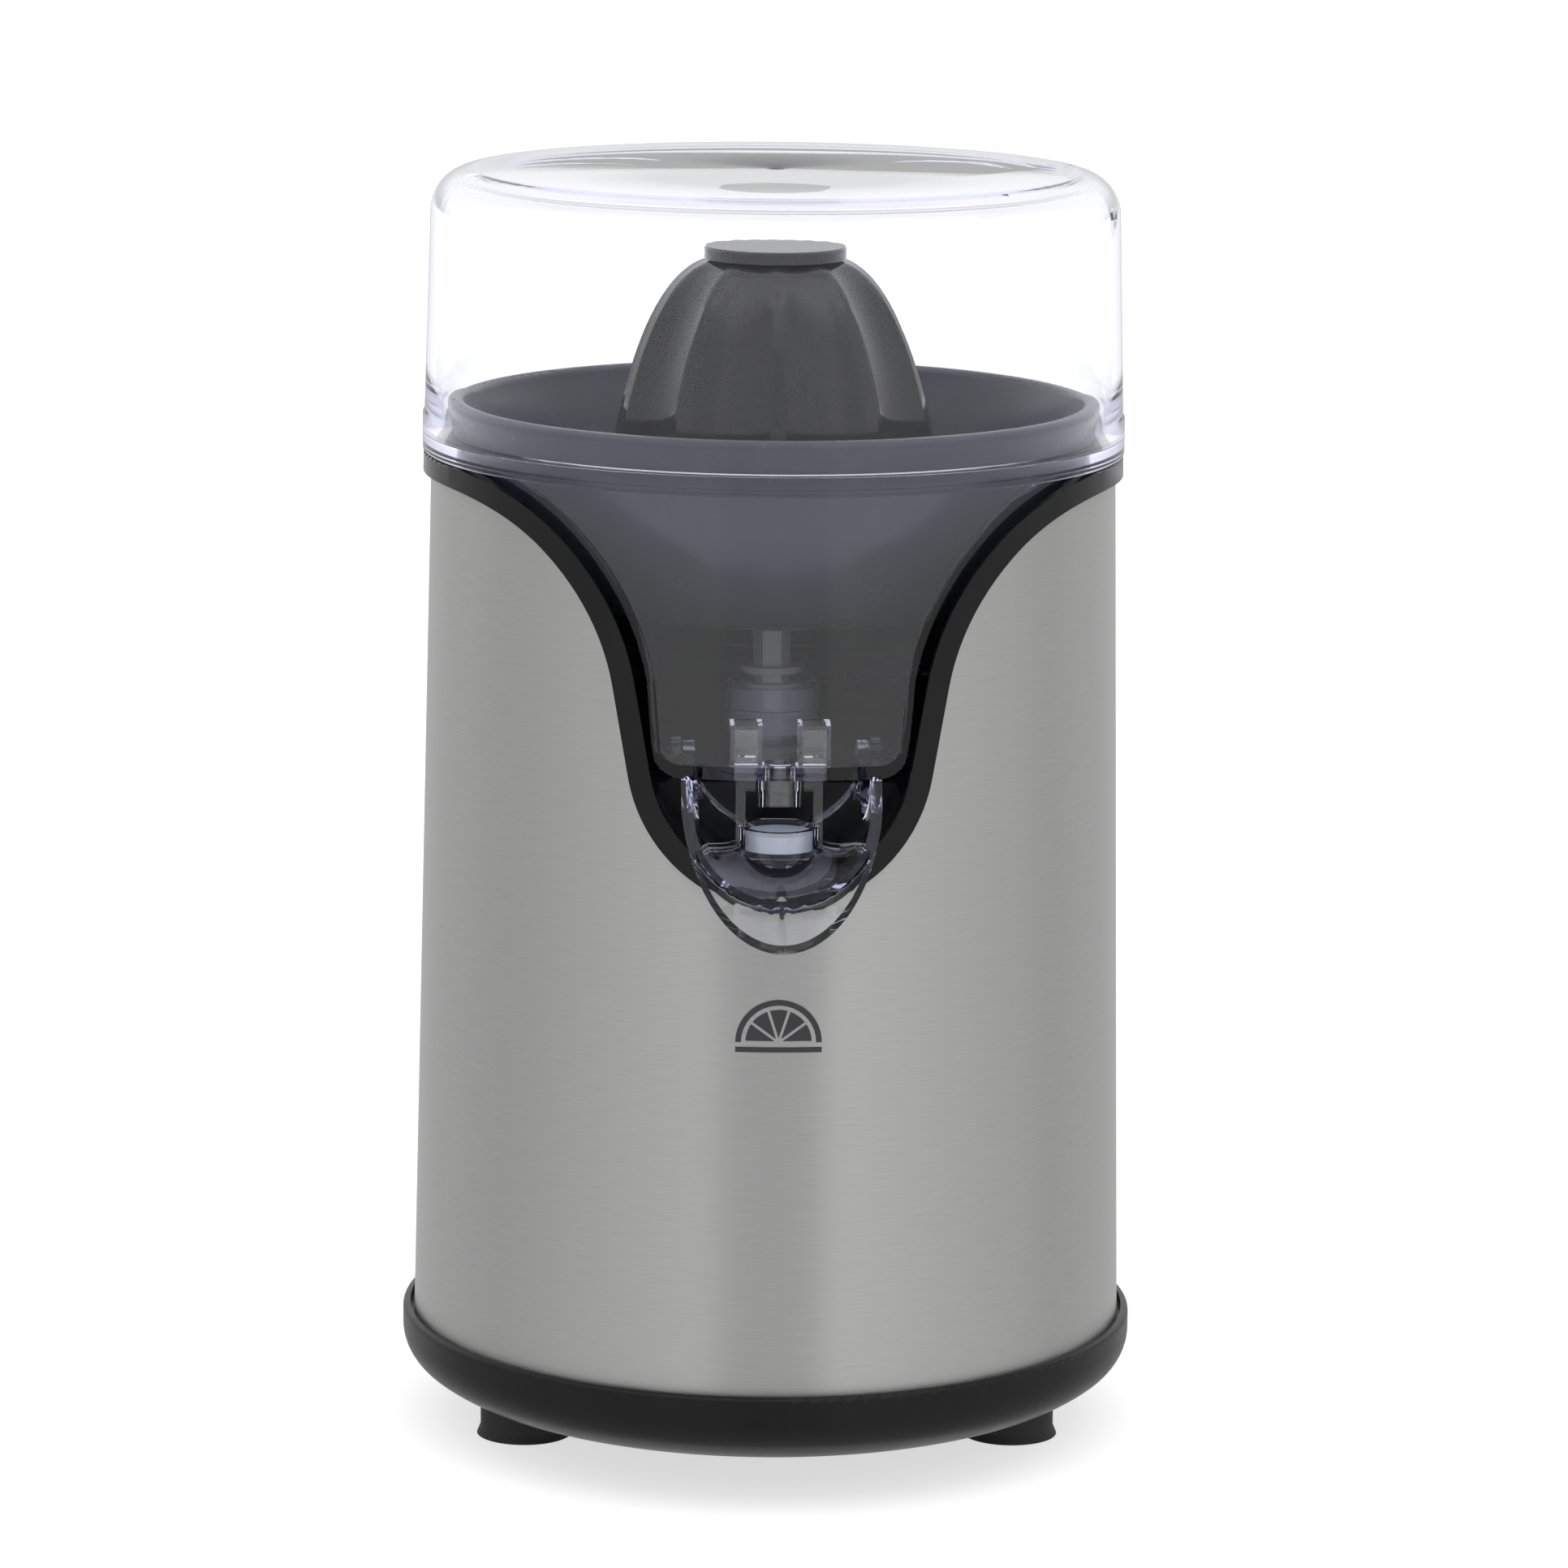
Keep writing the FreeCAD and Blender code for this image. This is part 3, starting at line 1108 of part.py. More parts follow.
def make_gearbox_fittings():
    low, high = d.gearbox_low_height, d.gearbox_high_height
    screws = []
    for x, y in EAR_PLACES:
        head = cylinder(d.screw_head_radius, d.screw_head_height, x, y, low - d.screw_head_height)
        screws.append(fuse(head, cylinder(d.screw_radius, d.deck_height + 1.5 - low, x, y, low)))
    keep("gearbox_screws", group(*screws))
    neck_top = d.deck_height - d.deck_wall - 0.1
    keep("upper_bush", tube(7.2, d.spindle_radius + d.running_play, neck_top - SEAL_DEPTH - high, high))
    keep("lower_bush", tube(6.0, d.spindle_tail_radius + d.running_play, 4.5, low - 2))
    keep("spindle_seal", tube(d.deck_hole_radius - 0.2, d.spindle_radius + d.running_play,
                              SEAL_DEPTH - 0.6, neck_top - SEAL_DEPTH))
    keep("idler_axle", cylinder(d.axle_radius, high - low, 0, stage_two, low + 0.8))
    washer_low = d.output_low_height - 4.6
    keep("thrust_washer", tube(6.3, d.spindle_tail_radius + 0.15, 0.6, washer_low))
    seat = low + 3.0
    spring = doc.addObject("Part::Helix", "Coil")
    bind(spring, "Pitch", (washer_low - seat - 1.0) / 5)
    bind(spring, "Height", washer_low - seat - 1.0)
    bind(spring, "Radius", 5.55)
    wire = doc.addObject("Part::Circle", "Wire")
    bind(wire, "Radius", 0.5)
    wire.Placement = FreeCAD.Placement(
        FreeCAD.Vector(5.55, 0, 0), FreeCAD.Rotation(FreeCAD.Vector(1, 0, 0), 90))
    coil = doc.addObject("Part::Sweep", "Spring")
    coil.Sections = [wire]
    coil.Spine = (spring, ["Edge1"])
    coil.Solid = True
    coil.Frenet = True
    place(coil, 0, 0, seat + 0.5)
    keep("return_spring", coil)


# ---------------------------------------------------------------- motor and switch

def make_motor():
    low, height, width = d.stator_low_height, d.stator_height, d.stator_width
    x, y = motor_x, motor_y
    leg = 13
    block = box((x - d.stator_back, y - width / 2, low), (x + 21, y + width / 2, low + height))
    window = box((x - d.stator_back + 12, y - width / 2 + leg, low - 1),
                 (x - 16, y + width / 2 - leg, low + height + 1))
    bore = cylinder(d.rotor_radius + d.air_gap, height + 2, x, y, low - 1)
    split = box((x - 17, y - 1.5, low - 1), (x + 22, y + 1.5, low + height + 1))
    holes = [cylinder(1.7, height + 2, px, py, low - 1) for px, py in stator_holes()]
    keep("stator_core", cut(block, window, bore, split, *holes))
    for side, name in ((-1, "left"), (1, "right")):
        centre = y + side * (width / 2 - leg / 2)
        start, end = x - d.stator_back + 12.6, x - 17

        def sleeve(grow, first, last, inner):
            outside = box((first, centre - leg / 2 - grow, low - grow),
                          (last, centre + leg / 2 + grow, low + height + grow))
            gap = 0.1 if inner is None else inner
            hole = box((first - 1, centre - leg / 2 - gap, low - gap),
                       (last + 1, centre + leg / 2 + gap, low + height + gap))
            return cut(outside, hole)

        flanges = [sleeve(6.2, start, start + 1.2, None), sleeve(6.2, end - 1.2, end, None)]
        keep(f"coil_bobbin_{name}", fuse(sleeve(1.1, start, end, None), *flanges))
        keep(f"coil_winding_{name}", sleeve(5.6, start + 1.2, end - 1.2, 1.1))
    shaft_low = low - 11
    keep("rotor_magnet", cut(
        cylinder(d.rotor_radius, height + 5, x, y, low - 2.5),
        cylinder(d.motor_shaft_radius, 60, x, y, low - 10)))
    keep("rotor_shaft", cylinder(d.motor_shaft_radius, d.wheel_low_height + d.wheel_face + 3 - shaft_low,
                                 x, y, shaft_low))
    pinion_phase = d.motor_turn.value + 180 + 180 / d.motor_teeth.value
    teeth = gear("motor_pinion", d.wheel_module, d.motor_teeth, pinion_phase, d.wheel_face + 3, x, y,
                 d.wheel_low_height - 1.5)
    keep("motor_pinion", cut(teeth, cylinder(d.motor_shaft_radius, 30, x, y, d.wheel_low_height - 5)))
    bush_low = d.gearbox_low_height - 3.4
    keep("rotor_upper_bush", tube(4.0, d.motor_shaft_radius + 0.03, 5.9, bush_low, x, y))
    bracket_low = low - 9.5
    legs = []
    leg_holes = []
    for px, py in stator_holes():
        legs.append(cylinder(4.0, low - bracket_low, px, py, bracket_low))
        leg_holes.append(cylinder(1.7, 20, px, py, bracket_low - 1))
        legs.append(strut(x, y, px, py, bracket_low))
    hub = cylinder(7.5, 5, x, y, bracket_low)
    keep("motor_bracket", cut(fuse(hub, *legs), cylinder(4.0, 20, x, y, bracket_low - 5), *leg_holes))
    keep("rotor_lower_bush", tube(4.0, d.motor_shaft_radius + 0.03, 5, bracket_low, x, y))
    bolts = []
    for px, py in stator_holes():
        head = cylinder(d.screw_head_radius, d.screw_head_height, px, py, bracket_low - d.screw_head_height)
        bolts.append(fuse(head, cylinder(1.2, low + height + 9 - bracket_low, px, py, bracket_low)))
    keep("motor_screws", group(*bolts))


def strut(x, y, px, py, low):
    """A flat bar in the level plane from the bracket's hub to one of its legs."""
    run_x, run_y = px - x, py - y
    length = root(run_x * run_x + run_y * run_y)
    bar = box((0, -2.5, 0), (length, 2.5, 3))
    turn = math.atan2(run_y.value, run_x.value)
    bar.Placement = FreeCAD.Placement(
        FreeCAD.Vector(0, 0, 0), FreeCAD.Rotation(FreeCAD.Vector(0, 0, 1), math.degrees(turn)))
    angle = math.degrees(turn)
    for name, size in zip("xyz", (x + 2.5 * sine(angle), y - 2.5 * cosine(angle), low)):
        bar.setExpression(f"Placement.Base.{name}", Size.of(size).text)
    return bar


def stator_holes():
    places = []
    for x_side in (-1, 1):
        for y_side in (-1, 1):
            x = motor_x - 45 if x_side < 0 else motor_x + 16
            places.append((x, motor_y + y_side * (d.stator_width / 2 - 4)))
    return places


def make_switch():
    case = box((6, -3.2, 84), (26, 3.2, 92))
    case_holes = [cylinder(1.15, 10, x, -5, 86, (1, 0, 0), -90) for x in (9, 23)]
    well = cylinder(1.26, 8, 15, 0, 86.9)
    ears = [box((21.9, low, 91.5), (25.1, high, 94.9)) for low, high in ((-3.2, -2.1), (2.1, 3.2))]
    pivot_hole = cylinder(0.66, 10, 23.5, -5, 93.6, (1, 0, 0), -90)
    keep("switch_case", cut(fuse(case, *ears), well, pivot_hole, *case_holes))
    keep("switch_button", cylinder(1.2, 6.7, 15, 0, 88.2))
    lever = box((-2.5, -1.9, 95.0), (24.3, 1.9, 95.6))
    knuckle = box((22.7, -1.9, 92.9), (24.3, 1.9, 95.3))
    pivot = cylinder(0.6, 6.2, 23.5, -3.1, 93.6, (1, 0, 0), -90)
    keep("switch_lever", fuse(lever, knuckle, pivot))
    prongs = [box((x, -0.3, 78), (x + 3.2, 0.3, 84)) for x in (8, 14.4, 20.8)]
    keep("switch_terminals", group(*prongs))
    bolts = []
    for x in (9, 23):
        head = cylinder(2.0, 1.2, x, -4.4, 86, (1, 0, 0), -90)
        bolts.append(fuse(head, cylinder(1.05, 9, x, -3.2, 86, (1, 0, 0), -90)))
    keep("switch_screws", group(*bolts))
    low = d.bowl_floor_height + d.plastic_wall
    back = d.foot_circle - d.foot_radius - 0.4
    base = box((-14, back - 9.7, low), (14, back, low + 9))
    wells = [cylinder(1.9, 6, x, back - 5, low + 4) for x in (-8.5, 0, 8.5)]
    keep("terminal_block", cut(base, *wells))
    grub = [cylinder(1.8, 3.4, x, back - 5, low + 4) for x in (-8.5, 0, 8.5)]
    keep("terminal_screws", group(*grub))


# ---------------------------------------------------------------- build, check, write

def build_all():
    make_bottom_cover()
    make_feet()
    make_base_ring()
    make_steel_shell()
    make_screws()
    make_gland()
    make_bezel()
    make_upper_housing()
    make_collector()
    make_collector_bush()
    make_spout()
    make_plug()
    make_strainer()
    make_large_cone()
    make_small_cone()
    make_lid()
    make_drive_shaft()
    make_spindle()
    make_output_gear()
    make_compound_gear()
    make_gearbox()
    make_gearbox_fittings()
    make_motor()
    make_switch()


def check_all():
    doc.recompute()
    faults = [item.Label for item in doc.Objects if {"Invalid", "Error"} & set(item.State)]
    for label, item in PARTS.items():
        if item.Shape.isNull() or not item.Shape.isValid() or not item.Shape.Solids:
            faults.append(label)
    if faults:
        raise RuntimeError("these objects failed: " + ", ".join(faults))


build_all()
check_all()
os.makedirs("parts", exist_ok=True)
for label, item in PARTS.items():
    item.Shape.exportStep(f"parts/{label}.step")
    bounds = item.Shape.BoundBox
    print(f"{label:20s} solids {len(item.Shape.Solids):2d}  volume {item.Shape.Volume:10.1f}"
          f"  z {bounds.ZMin:6.1f} to {bounds.ZMax:6.1f}  y {bounds.YMin:6.1f} to {bounds.YMax:6.1f}")
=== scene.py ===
# %% [markdown]
# # An electric citrus press
# This lesson dresses a finished CAD model: a steel drum on a black base, a clear juice collector
# with a tilting spout, a dark strainer with two reaming cones, and a clear dust cover on top.
# Each step says what the piece is on the real machine and why it is made the way it is here.

import math

import bmesh
import bpy
from mathutils import Matrix, Vector


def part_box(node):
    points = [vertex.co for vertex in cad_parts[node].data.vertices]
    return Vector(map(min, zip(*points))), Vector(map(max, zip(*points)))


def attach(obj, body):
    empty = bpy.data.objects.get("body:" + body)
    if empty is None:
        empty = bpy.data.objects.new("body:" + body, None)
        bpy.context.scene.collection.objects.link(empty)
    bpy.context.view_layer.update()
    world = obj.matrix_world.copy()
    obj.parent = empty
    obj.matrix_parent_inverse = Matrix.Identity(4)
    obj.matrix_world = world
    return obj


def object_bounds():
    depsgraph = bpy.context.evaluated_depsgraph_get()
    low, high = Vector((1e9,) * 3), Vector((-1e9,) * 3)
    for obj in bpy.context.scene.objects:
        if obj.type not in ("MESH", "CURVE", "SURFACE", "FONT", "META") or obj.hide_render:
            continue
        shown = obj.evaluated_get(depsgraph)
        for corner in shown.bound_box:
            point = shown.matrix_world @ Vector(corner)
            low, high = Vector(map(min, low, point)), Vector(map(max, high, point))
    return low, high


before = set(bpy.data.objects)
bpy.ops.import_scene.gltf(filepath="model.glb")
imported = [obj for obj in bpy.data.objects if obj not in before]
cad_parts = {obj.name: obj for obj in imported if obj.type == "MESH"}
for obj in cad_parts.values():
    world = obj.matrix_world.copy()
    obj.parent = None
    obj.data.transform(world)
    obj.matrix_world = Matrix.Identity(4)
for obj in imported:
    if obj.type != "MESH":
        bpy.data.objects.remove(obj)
cad_low, cad_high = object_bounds()
print("CAD box", [round(v, 4) for v in cad_low], [round(v, 4) for v in cad_high])

# %% [markdown]
# ## Where things are
# The drum is a turned shape, so almost everything is measured from its axis. The base ring is
# centred on that axis, so its box gives the axis, and every later piece asks the CAD for its
# heights instead of repeating numbers.

# %% The drum's axis
ring_low, ring_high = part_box("base_ring")
AXIS_Y = (ring_low.y + ring_high.y) / 2
drum_low, drum_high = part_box("steel_shell")
print("drum axis at y", round(AXIS_Y, 4))
print("drum from", round(drum_low.z, 4), "to", round(drum_high.z, 4))

# %% [markdown]
# ## The camera
# A long lens about 1.3 m away, a little above the lid and looking slightly down, keeps the
# drum's sides almost parallel. The frame is square, so one field of view does for both ways.

# %% Camera
SENSOR_WIDTH_MM = 36.0
LENS_MM = 144.1
NEAR_CLIP = 0.05
CAMERA_DISTANCE = 1.3416     # metres from the drum's axis
CAMERA_HEIGHT = 0.3985       # metres above the table
CAMERA_HEADING_DEG = 1.65    # how far the camera stands to the left of straight ahead
AIM_OFFSET = 0.0022          # radians; the camera looks a hair to one side of the axis
LOOK_DOWN = 0.1899           # radians
LOOK_ROLL = 0.0098           # radians

camera_data = bpy.data.cameras.new("camera")
camera_data.sensor_width = SENSOR_WIDTH_MM
camera_data.lens = LENS_MM
camera_data.clip_start = NEAR_CLIP
camera = bpy.data.objects.new("camera", camera_data)
bpy.context.scene.collection.objects.link(camera)
bpy.context.scene.camera = camera

camera_heading = math.radians(CAMERA_HEADING_DEG)
camera.location = (-CAMERA_DISTANCE * math.sin(camera_heading),
                   AXIS_Y - CAMERA_DISTANCE * math.cos(camera_heading), CAMERA_HEIGHT)
camera.rotation_mode = "QUATERNION"
camera.rotation_quaternion = (
    Matrix.Rotation(-(camera_heading + AIM_OFFSET), 3, "Z")
    @ Matrix.Rotation(math.pi / 2 - LOOK_DOWN, 3, "X")
    @ Matrix.Rotation(LOOK_ROLL, 3, "Z")).to_quaternion()
print("camera at", [round(v, 3) for v in camera.location])

# %% [markdown]
# ## Small helpers for materials
# A material is a set of nodes joined by links. These two helpers keep each material readable:
# one adds a node with some of its inputs filled in, the other joins two sockets.

# %% Node helpers
def add_node(tree, kind, settings=None, **inputs):
    """Adds a node, sets its properties and fills its inputs by name (underscores for spaces)."""
    node = tree.nodes.new(kind)
    for name, value in (settings or {}).items():
        setattr(node, name, value)
    for name, value in inputs.items():
        node.inputs[name.replace("_", " ")].default_value = value
    return node


def join(tree, source, target):
    tree.links.new(source, target)


def new_group(name, inputs, outputs):
    """An empty shader node group with named sockets; returns the tree and its two end nodes."""
    tree = bpy.data.node_groups.new(name, "ShaderNodeTree")
    for label, kind, value in inputs:
        socket = tree.interface.new_socket(name=label, in_out="INPUT", socket_type=kind)
        socket.default_value = value
    for label, kind in outputs:
        tree.interface.new_socket(name=label, in_out="OUTPUT", socket_type=kind)
    return tree, tree.nodes.new("NodeGroupInput"), tree.nodes.new("NodeGroupOutput")


def place_group(tree, group, **inputs):
    node = tree.nodes.new("ShaderNodeGroup")
    node.node_tree = group
    for name, value in inputs.items():
        node.inputs[name.replace("_", " ")].default_value = value
    return node


def new_material(name, **values):
    """A material with one Principled shader, whose plain values are set by socket name."""
    material = bpy.data.materials.new(name)
    material.use_nodes = True
    tree = material.node_tree
    shader = tree.nodes["Principled BSDF"]
    for label, value in values.items():
        shader.inputs[label.replace("_", " ")].default_value = value
    return material, tree, shader


FLOAT, VECTOR = "NodeSocketFloat", "NodeSocketVector"
print("helpers ready")

# %% [markdown]
# ## Brushed steel, part one: the grain
# The drum's sheet is rubbed round its girth by an abrasive belt, which leaves fine scratches
# that run level. Noise that is squeezed in height and stretched along the girth gives exactly
# that. The group works on the angle round the drum, so the grain follows the curve, and puts
# out a mask for roughness and a height for bumps.

# %% Group: level brushing
brushing, ends_in, ends_out = new_group(
    "level_brushing",
    [("Axis", VECTOR, (0.0, AXIS_Y, 0.0)),
     ("Lines per metre", FLOAT, 2600.0),
     ("Length", FLOAT, 9.0)],
    [("Mask", FLOAT), ("Height", FLOAT)])
where = add_node(brushing, "ShaderNodeTexCoord")
centred = add_node(brushing, "ShaderNodeVectorMath", {"operation": "SUBTRACT"})
apart = add_node(brushing, "ShaderNodeSeparateXYZ")
angle = add_node(brushing, "ShaderNodeMath", {"operation": "ARCTAN2"})
stretched = add_node(brushing, "ShaderNodeMath", {"operation": "MULTIPLY"})
squeezed = add_node(brushing, "ShaderNodeMath", {"operation": "MULTIPLY"})
together = add_node(brushing, "ShaderNodeCombineXYZ")
join(brushing, where.outputs["Object"], centred.inputs[0])
join(brushing, ends_in.outputs["Axis"], centred.inputs[1])
join(brushing, centred.outputs[0], apart.inputs[0])
join(brushing, apart.outputs["X"], angle.inputs[0])
join(brushing, apart.outputs["Y"], angle.inputs[1])
join(brushing, angle.outputs[0], stretched.inputs[0])
join(brushing, ends_in.outputs["Length"], stretched.inputs[1])
join(brushing, apart.outputs["Z"], squeezed.inputs[0])
join(brushing, ends_in.outputs["Lines per metre"], squeezed.inputs[1])
join(brushing, stretched.outputs[0], together.inputs["X"])
join(brushing, squeezed.outputs[0], together.inputs["Y"])
fine = add_node(brushing, "ShaderNodeTexNoise", Scale=1.0, Detail=5.0, Roughness=0.62)
join(brushing, together.outputs[0], fine.inputs["Vector"])
contrast = add_node(brushing, "ShaderNodeMapRange", From_Min=0.32, From_Max=0.68)
join(brushing, fine.outputs["Fac"], contrast.inputs["Value"])
join(brushing, contrast.outputs["Result"], ends_out.inputs["Mask"])
join(brushing, fine.outputs["Fac"], ends_out.inputs["Height"])
print("group", brushing.name, "with", len(brushing.nodes), "nodes")

# %% [markdown]
# ## Brushed steel, part two: the shine
# Level scratches spread a reflection up and down but hardly sideways. The Principled shader
# does this with its anisotropy, once a Tangent node tells it which way the scratches run. The
# brushing group then breaks up the roughness a little, as no belt rubs evenly.

# %% Material: brushed steel
steel, tree, shader = new_material(
    "brushed_steel", Metallic=1.0, Anisotropic=0.94, Anisotropic_Rotation=0.25)
grain = place_group(tree, brushing)
tint = add_node(tree, "ShaderNodeMix", {"data_type": "RGBA"})
tint.inputs["A"].default_value = (0.455, 0.455, 0.452, 1)
tint.inputs["B"].default_value = (0.515, 0.515, 0.512, 1)
join(tree, grain.outputs["Mask"], tint.inputs["Factor"])
join(tree, tint.outputs["Result"], shader.inputs["Base Color"])
rough = add_node(tree, "ShaderNodeMapRange", To_Min=0.33, To_Max=0.40)
join(tree, grain.outputs["Mask"], rough.inputs["Value"])
join(tree, rough.outputs["Result"], shader.inputs["Roughness"])
bump = add_node(tree, "ShaderNodeBump", Strength=0.05, Distance=0.0002)
join(tree, grain.outputs["Height"], bump.inputs["Height"])
join(tree, bump.outputs["Normal"], shader.inputs["Normal"])
girth = add_node(tree, "ShaderNodeTangent", {"direction_type": "RADIAL", "axis": "Z"})
join(tree, girth.outputs["Tangent"], shader.inputs["Tangent"])
print("steel ready")

# %% [markdown]
# ## Moulded plastic
# The black parts are moulded. A polished tool leaves a smooth skin with very shallow waviness,
# and a spark-eroded tool leaves a fine grain. One group serves both: it gives a fine pebble, a
# slow wave and faint cloudy wear, and each material mixes in as much as it needs.

# %% Group: moulded skin
moulded, ends_in, ends_out = new_group(
    "moulded_skin",
    [("Pebble scale", FLOAT, 1800.0), ("Wave scale", FLOAT, 35.0), ("Pebble share", FLOAT, 0.5)],
    [("Height", FLOAT), ("Wear", FLOAT)])
where = add_node(moulded, "ShaderNodeTexCoord")
pebble = add_node(moulded, "ShaderNodeTexNoise", Detail=2.0, Roughness=0.6)
join(moulded, where.outputs["Object"], pebble.inputs["Vector"])
join(moulded, ends_in.outputs["Pebble scale"], pebble.inputs["Scale"])
wave = add_node(moulded, "ShaderNodeTexNoise", Detail=1.0, Roughness=0.4)
join(moulded, where.outputs["Object"], wave.inputs["Vector"])
join(moulded, ends_in.outputs["Wave scale"], wave.inputs["Scale"])
blended = add_node(moulded, "ShaderNodeMix", {"data_type": "FLOAT"})
join(moulded, ends_in.outputs["Pebble share"], blended.inputs["Factor"])
join(moulded, wave.outputs["Fac"], blended.inputs["A"])
join(moulded, pebble.outputs["Fac"], blended.inputs["B"])
join(moulded, blended.outputs["Result"], ends_out.inputs["Height"])
handled = add_node(moulded, "ShaderNodeTexNoise",
                   Scale=60.0, Detail=4.0, Roughness=0.65, Distortion=0.4)
join(moulded, where.outputs["Object"], handled.inputs["Vector"])
worn = add_node(moulded, "ShaderNodeMapRange", From_Min=0.38, From_Max=0.72)
join(moulded, handled.outputs["Fac"], worn.inputs["Value"])
join(moulded, worn.outputs["Result"], ends_out.inputs["Wear"])
print("group", moulded.name, "with", len(moulded.nodes), "nodes")

# %% Materials: plastics and rubber
def plastic(name, colour, roughness, bump_strength=0.05, pebble_share=0.5, spread=0.06,
            pebble_scale=1800.0, **values):
    """A moulded material: two close shades of its colour and a roughness that wanders a little."""
    material, tree, shader = new_material(name, **values)
    skin = place_group(tree, moulded, Pebble_share=pebble_share, Pebble_scale=pebble_scale)
    shade = add_node(tree, "ShaderNodeMix", {"data_type": "RGBA"})
    shade.inputs["A"].default_value = (*colour, 1)
    shade.inputs["B"].default_value = (*[min(1.0, c * 1.18 + 0.002) for c in colour], 1)
    join(tree, skin.outputs["Wear"], shade.inputs["Factor"])
    join(tree, shade.outputs["Result"], shader.inputs["Base Color"])
    rough = add_node(tree, "ShaderNodeMapRange", To_Min=roughness, To_Max=roughness + spread)
    join(tree, skin.outputs["Wear"], rough.inputs["Value"])
    join(tree, rough.outputs["Result"], shader.inputs["Roughness"])
    bump = add_node(tree, "ShaderNodeBump", Strength=bump_strength, Distance=0.0003)
    join(tree, skin.outputs["Height"], bump.inputs["Height"])
    join(tree, bump.outputs["Normal"], shader.inputs["Normal"])
    return material


base_black = plastic("satin_black_plastic", (0.006, 0.006, 0.0065), 0.30, 0.02, 0.3,
                     Specular_IOR_Level=0.22)
bezel_black = plastic("polished_black_plastic", (0.005, 0.005, 0.0055), 0.14, 0.01, 0.1, 0.04,
                      Specular_IOR_Level=0.26)
foot_rubber = plastic("foot_rubber", (0.010, 0.010, 0.010), 0.62, 0.25, 0.9, 0.1, 900.0)
strainer_grey = plastic("strainer_grey_plastic", (0.060, 0.066, 0.086), 0.24, 0.006, 0.0, 0.04,
                        Specular_IOR_Level=0.35)
cone_grey = plastic("cone_dark_plastic", (0.010, 0.0105, 0.0125), 0.10, 0.006, 0.0, 0.03,
                    Specular_IOR_Level=0.55)
gearbox_grey = plastic("gearbox_plastic", (0.20, 0.20, 0.21), 0.45, 0.12)
white_plastic = plastic("white_plastic", (0.62, 0.62, 0.63), 0.35, 0.04)
gear_plastic = plastic("acetal_plastic", (0.70, 0.68, 0.60), 0.32, 0.04)
bobbin_plastic = plastic("bobbin_nylon", (0.72, 0.68, 0.56), 0.42, 0.06)
plug_silicone = plastic("plug_silicone", (0.56, 0.60, 0.66), 0.38, 0.05, 0.4,
                        Subsurface_Weight=0.25, Subsurface_Scale=0.003)
seal_rubber = plastic("seal_rubber", (0.012, 0.012, 0.012), 0.55, 0.15, 0.8)
print("moulded materials ready")

# %% [markdown]
# ## Plain metals inside
# Screws, bushes, shafts and the motor are only seen through the vent slots or when the machine
# is taken apart, but they still need a finish: drawn steel, sintered bronze, enamelled copper
# wire, stamped iron sheets and grey ferrite. A second group gives the fine machining marks.

# %% Group: machined marks
machined, ends_in, ends_out = new_group(
    "machined_marks",
    [("Scale", FLOAT, 900.0), ("Stretch", VECTOR, (1.0, 1.0, 0.15))],
    [("Height", FLOAT), ("Mask", FLOAT)])
where = add_node(machined, "ShaderNodeTexCoord")
scaled = add_node(machined, "ShaderNodeVectorMath", {"operation": "MULTIPLY"})
marks = add_node(machined, "ShaderNodeTexNoise", Detail=3.0)
join(machined, where.outputs["Object"], scaled.inputs[0])
join(machined, ends_in.outputs["Stretch"], scaled.inputs[1])
join(machined, scaled.outputs[0], marks.inputs["Vector"])
join(machined, ends_in.outputs["Scale"], marks.inputs["Scale"])
join(machined, marks.outputs["Fac"], ends_out.inputs["Height"])
join(machined, marks.outputs["Fac"], ends_out.inputs["Mask"])


def metal(name, colour, dark, roughness, stretch=(1.0, 1.0, 0.15), bump_strength=0.08,
          scale=900.0):
    """A metal whose colour and roughness follow its machining marks."""
    material, tree, shader = new_material(name, Metallic=1.0)
    marks = place_group(tree, machined, Scale=scale, Stretch=stretch)
    shade = add_node(tree, "ShaderNodeMix", {"data_type": "RGBA"})
    shade.inputs["A"].default_value = (*dark, 1)
    shade.inputs["B"].default_value = (*colour, 1)
    join(tree, marks.outputs["Mask"], shade.inputs["Factor"])
    join(tree, shade.outputs["Result"], shader.inputs["Base Color"])
    rough = add_node(tree, "ShaderNodeMapRange", To_Min=roughness - 0.06, To_Max=roughness + 0.06)
    join(tree, marks.outputs["Mask"], rough.inputs["Value"])
    join(tree, rough.outputs["Result"], shader.inputs["Roughness"])
    bump = add_node(tree, "ShaderNodeBump", Strength=bump_strength, Distance=0.0002)
    join(tree, marks.outputs["Height"], bump.inputs["Height"])
    join(tree, bump.outputs["Normal"], shader.inputs["Normal"])
    return material


zinc_steel = metal("zinc_plated_steel", (0.66, 0.66, 0.68), (0.50, 0.50, 0.52), 0.32)
spring_steel = metal("drawn_spring_steel", (0.48, 0.48, 0.50), (0.36, 0.36, 0.38), 0.36)
bronze = metal("sintered_bronze", (0.62, 0.42, 0.20), (0.45, 0.30, 0.14), 0.45, (1, 1, 1), 0.2)
contact_brass = metal("contact_brass", (0.83, 0.68, 0.32), (0.70, 0.55, 0.25), 0.28)
iron_sheets = metal("stamped_iron_sheets", (0.30, 0.30, 0.31), (0.16, 0.16, 0.17), 0.5,
                    (0.02, 0.02, 2.0), 0.4, 1400.0)
copper_wire = metal("enamelled_copper_wire", (0.62, 0.22, 0.07), (0.34, 0.10, 0.03), 0.3,
                    (1.6, 0.05, 0.05), 0.5, 1500.0)
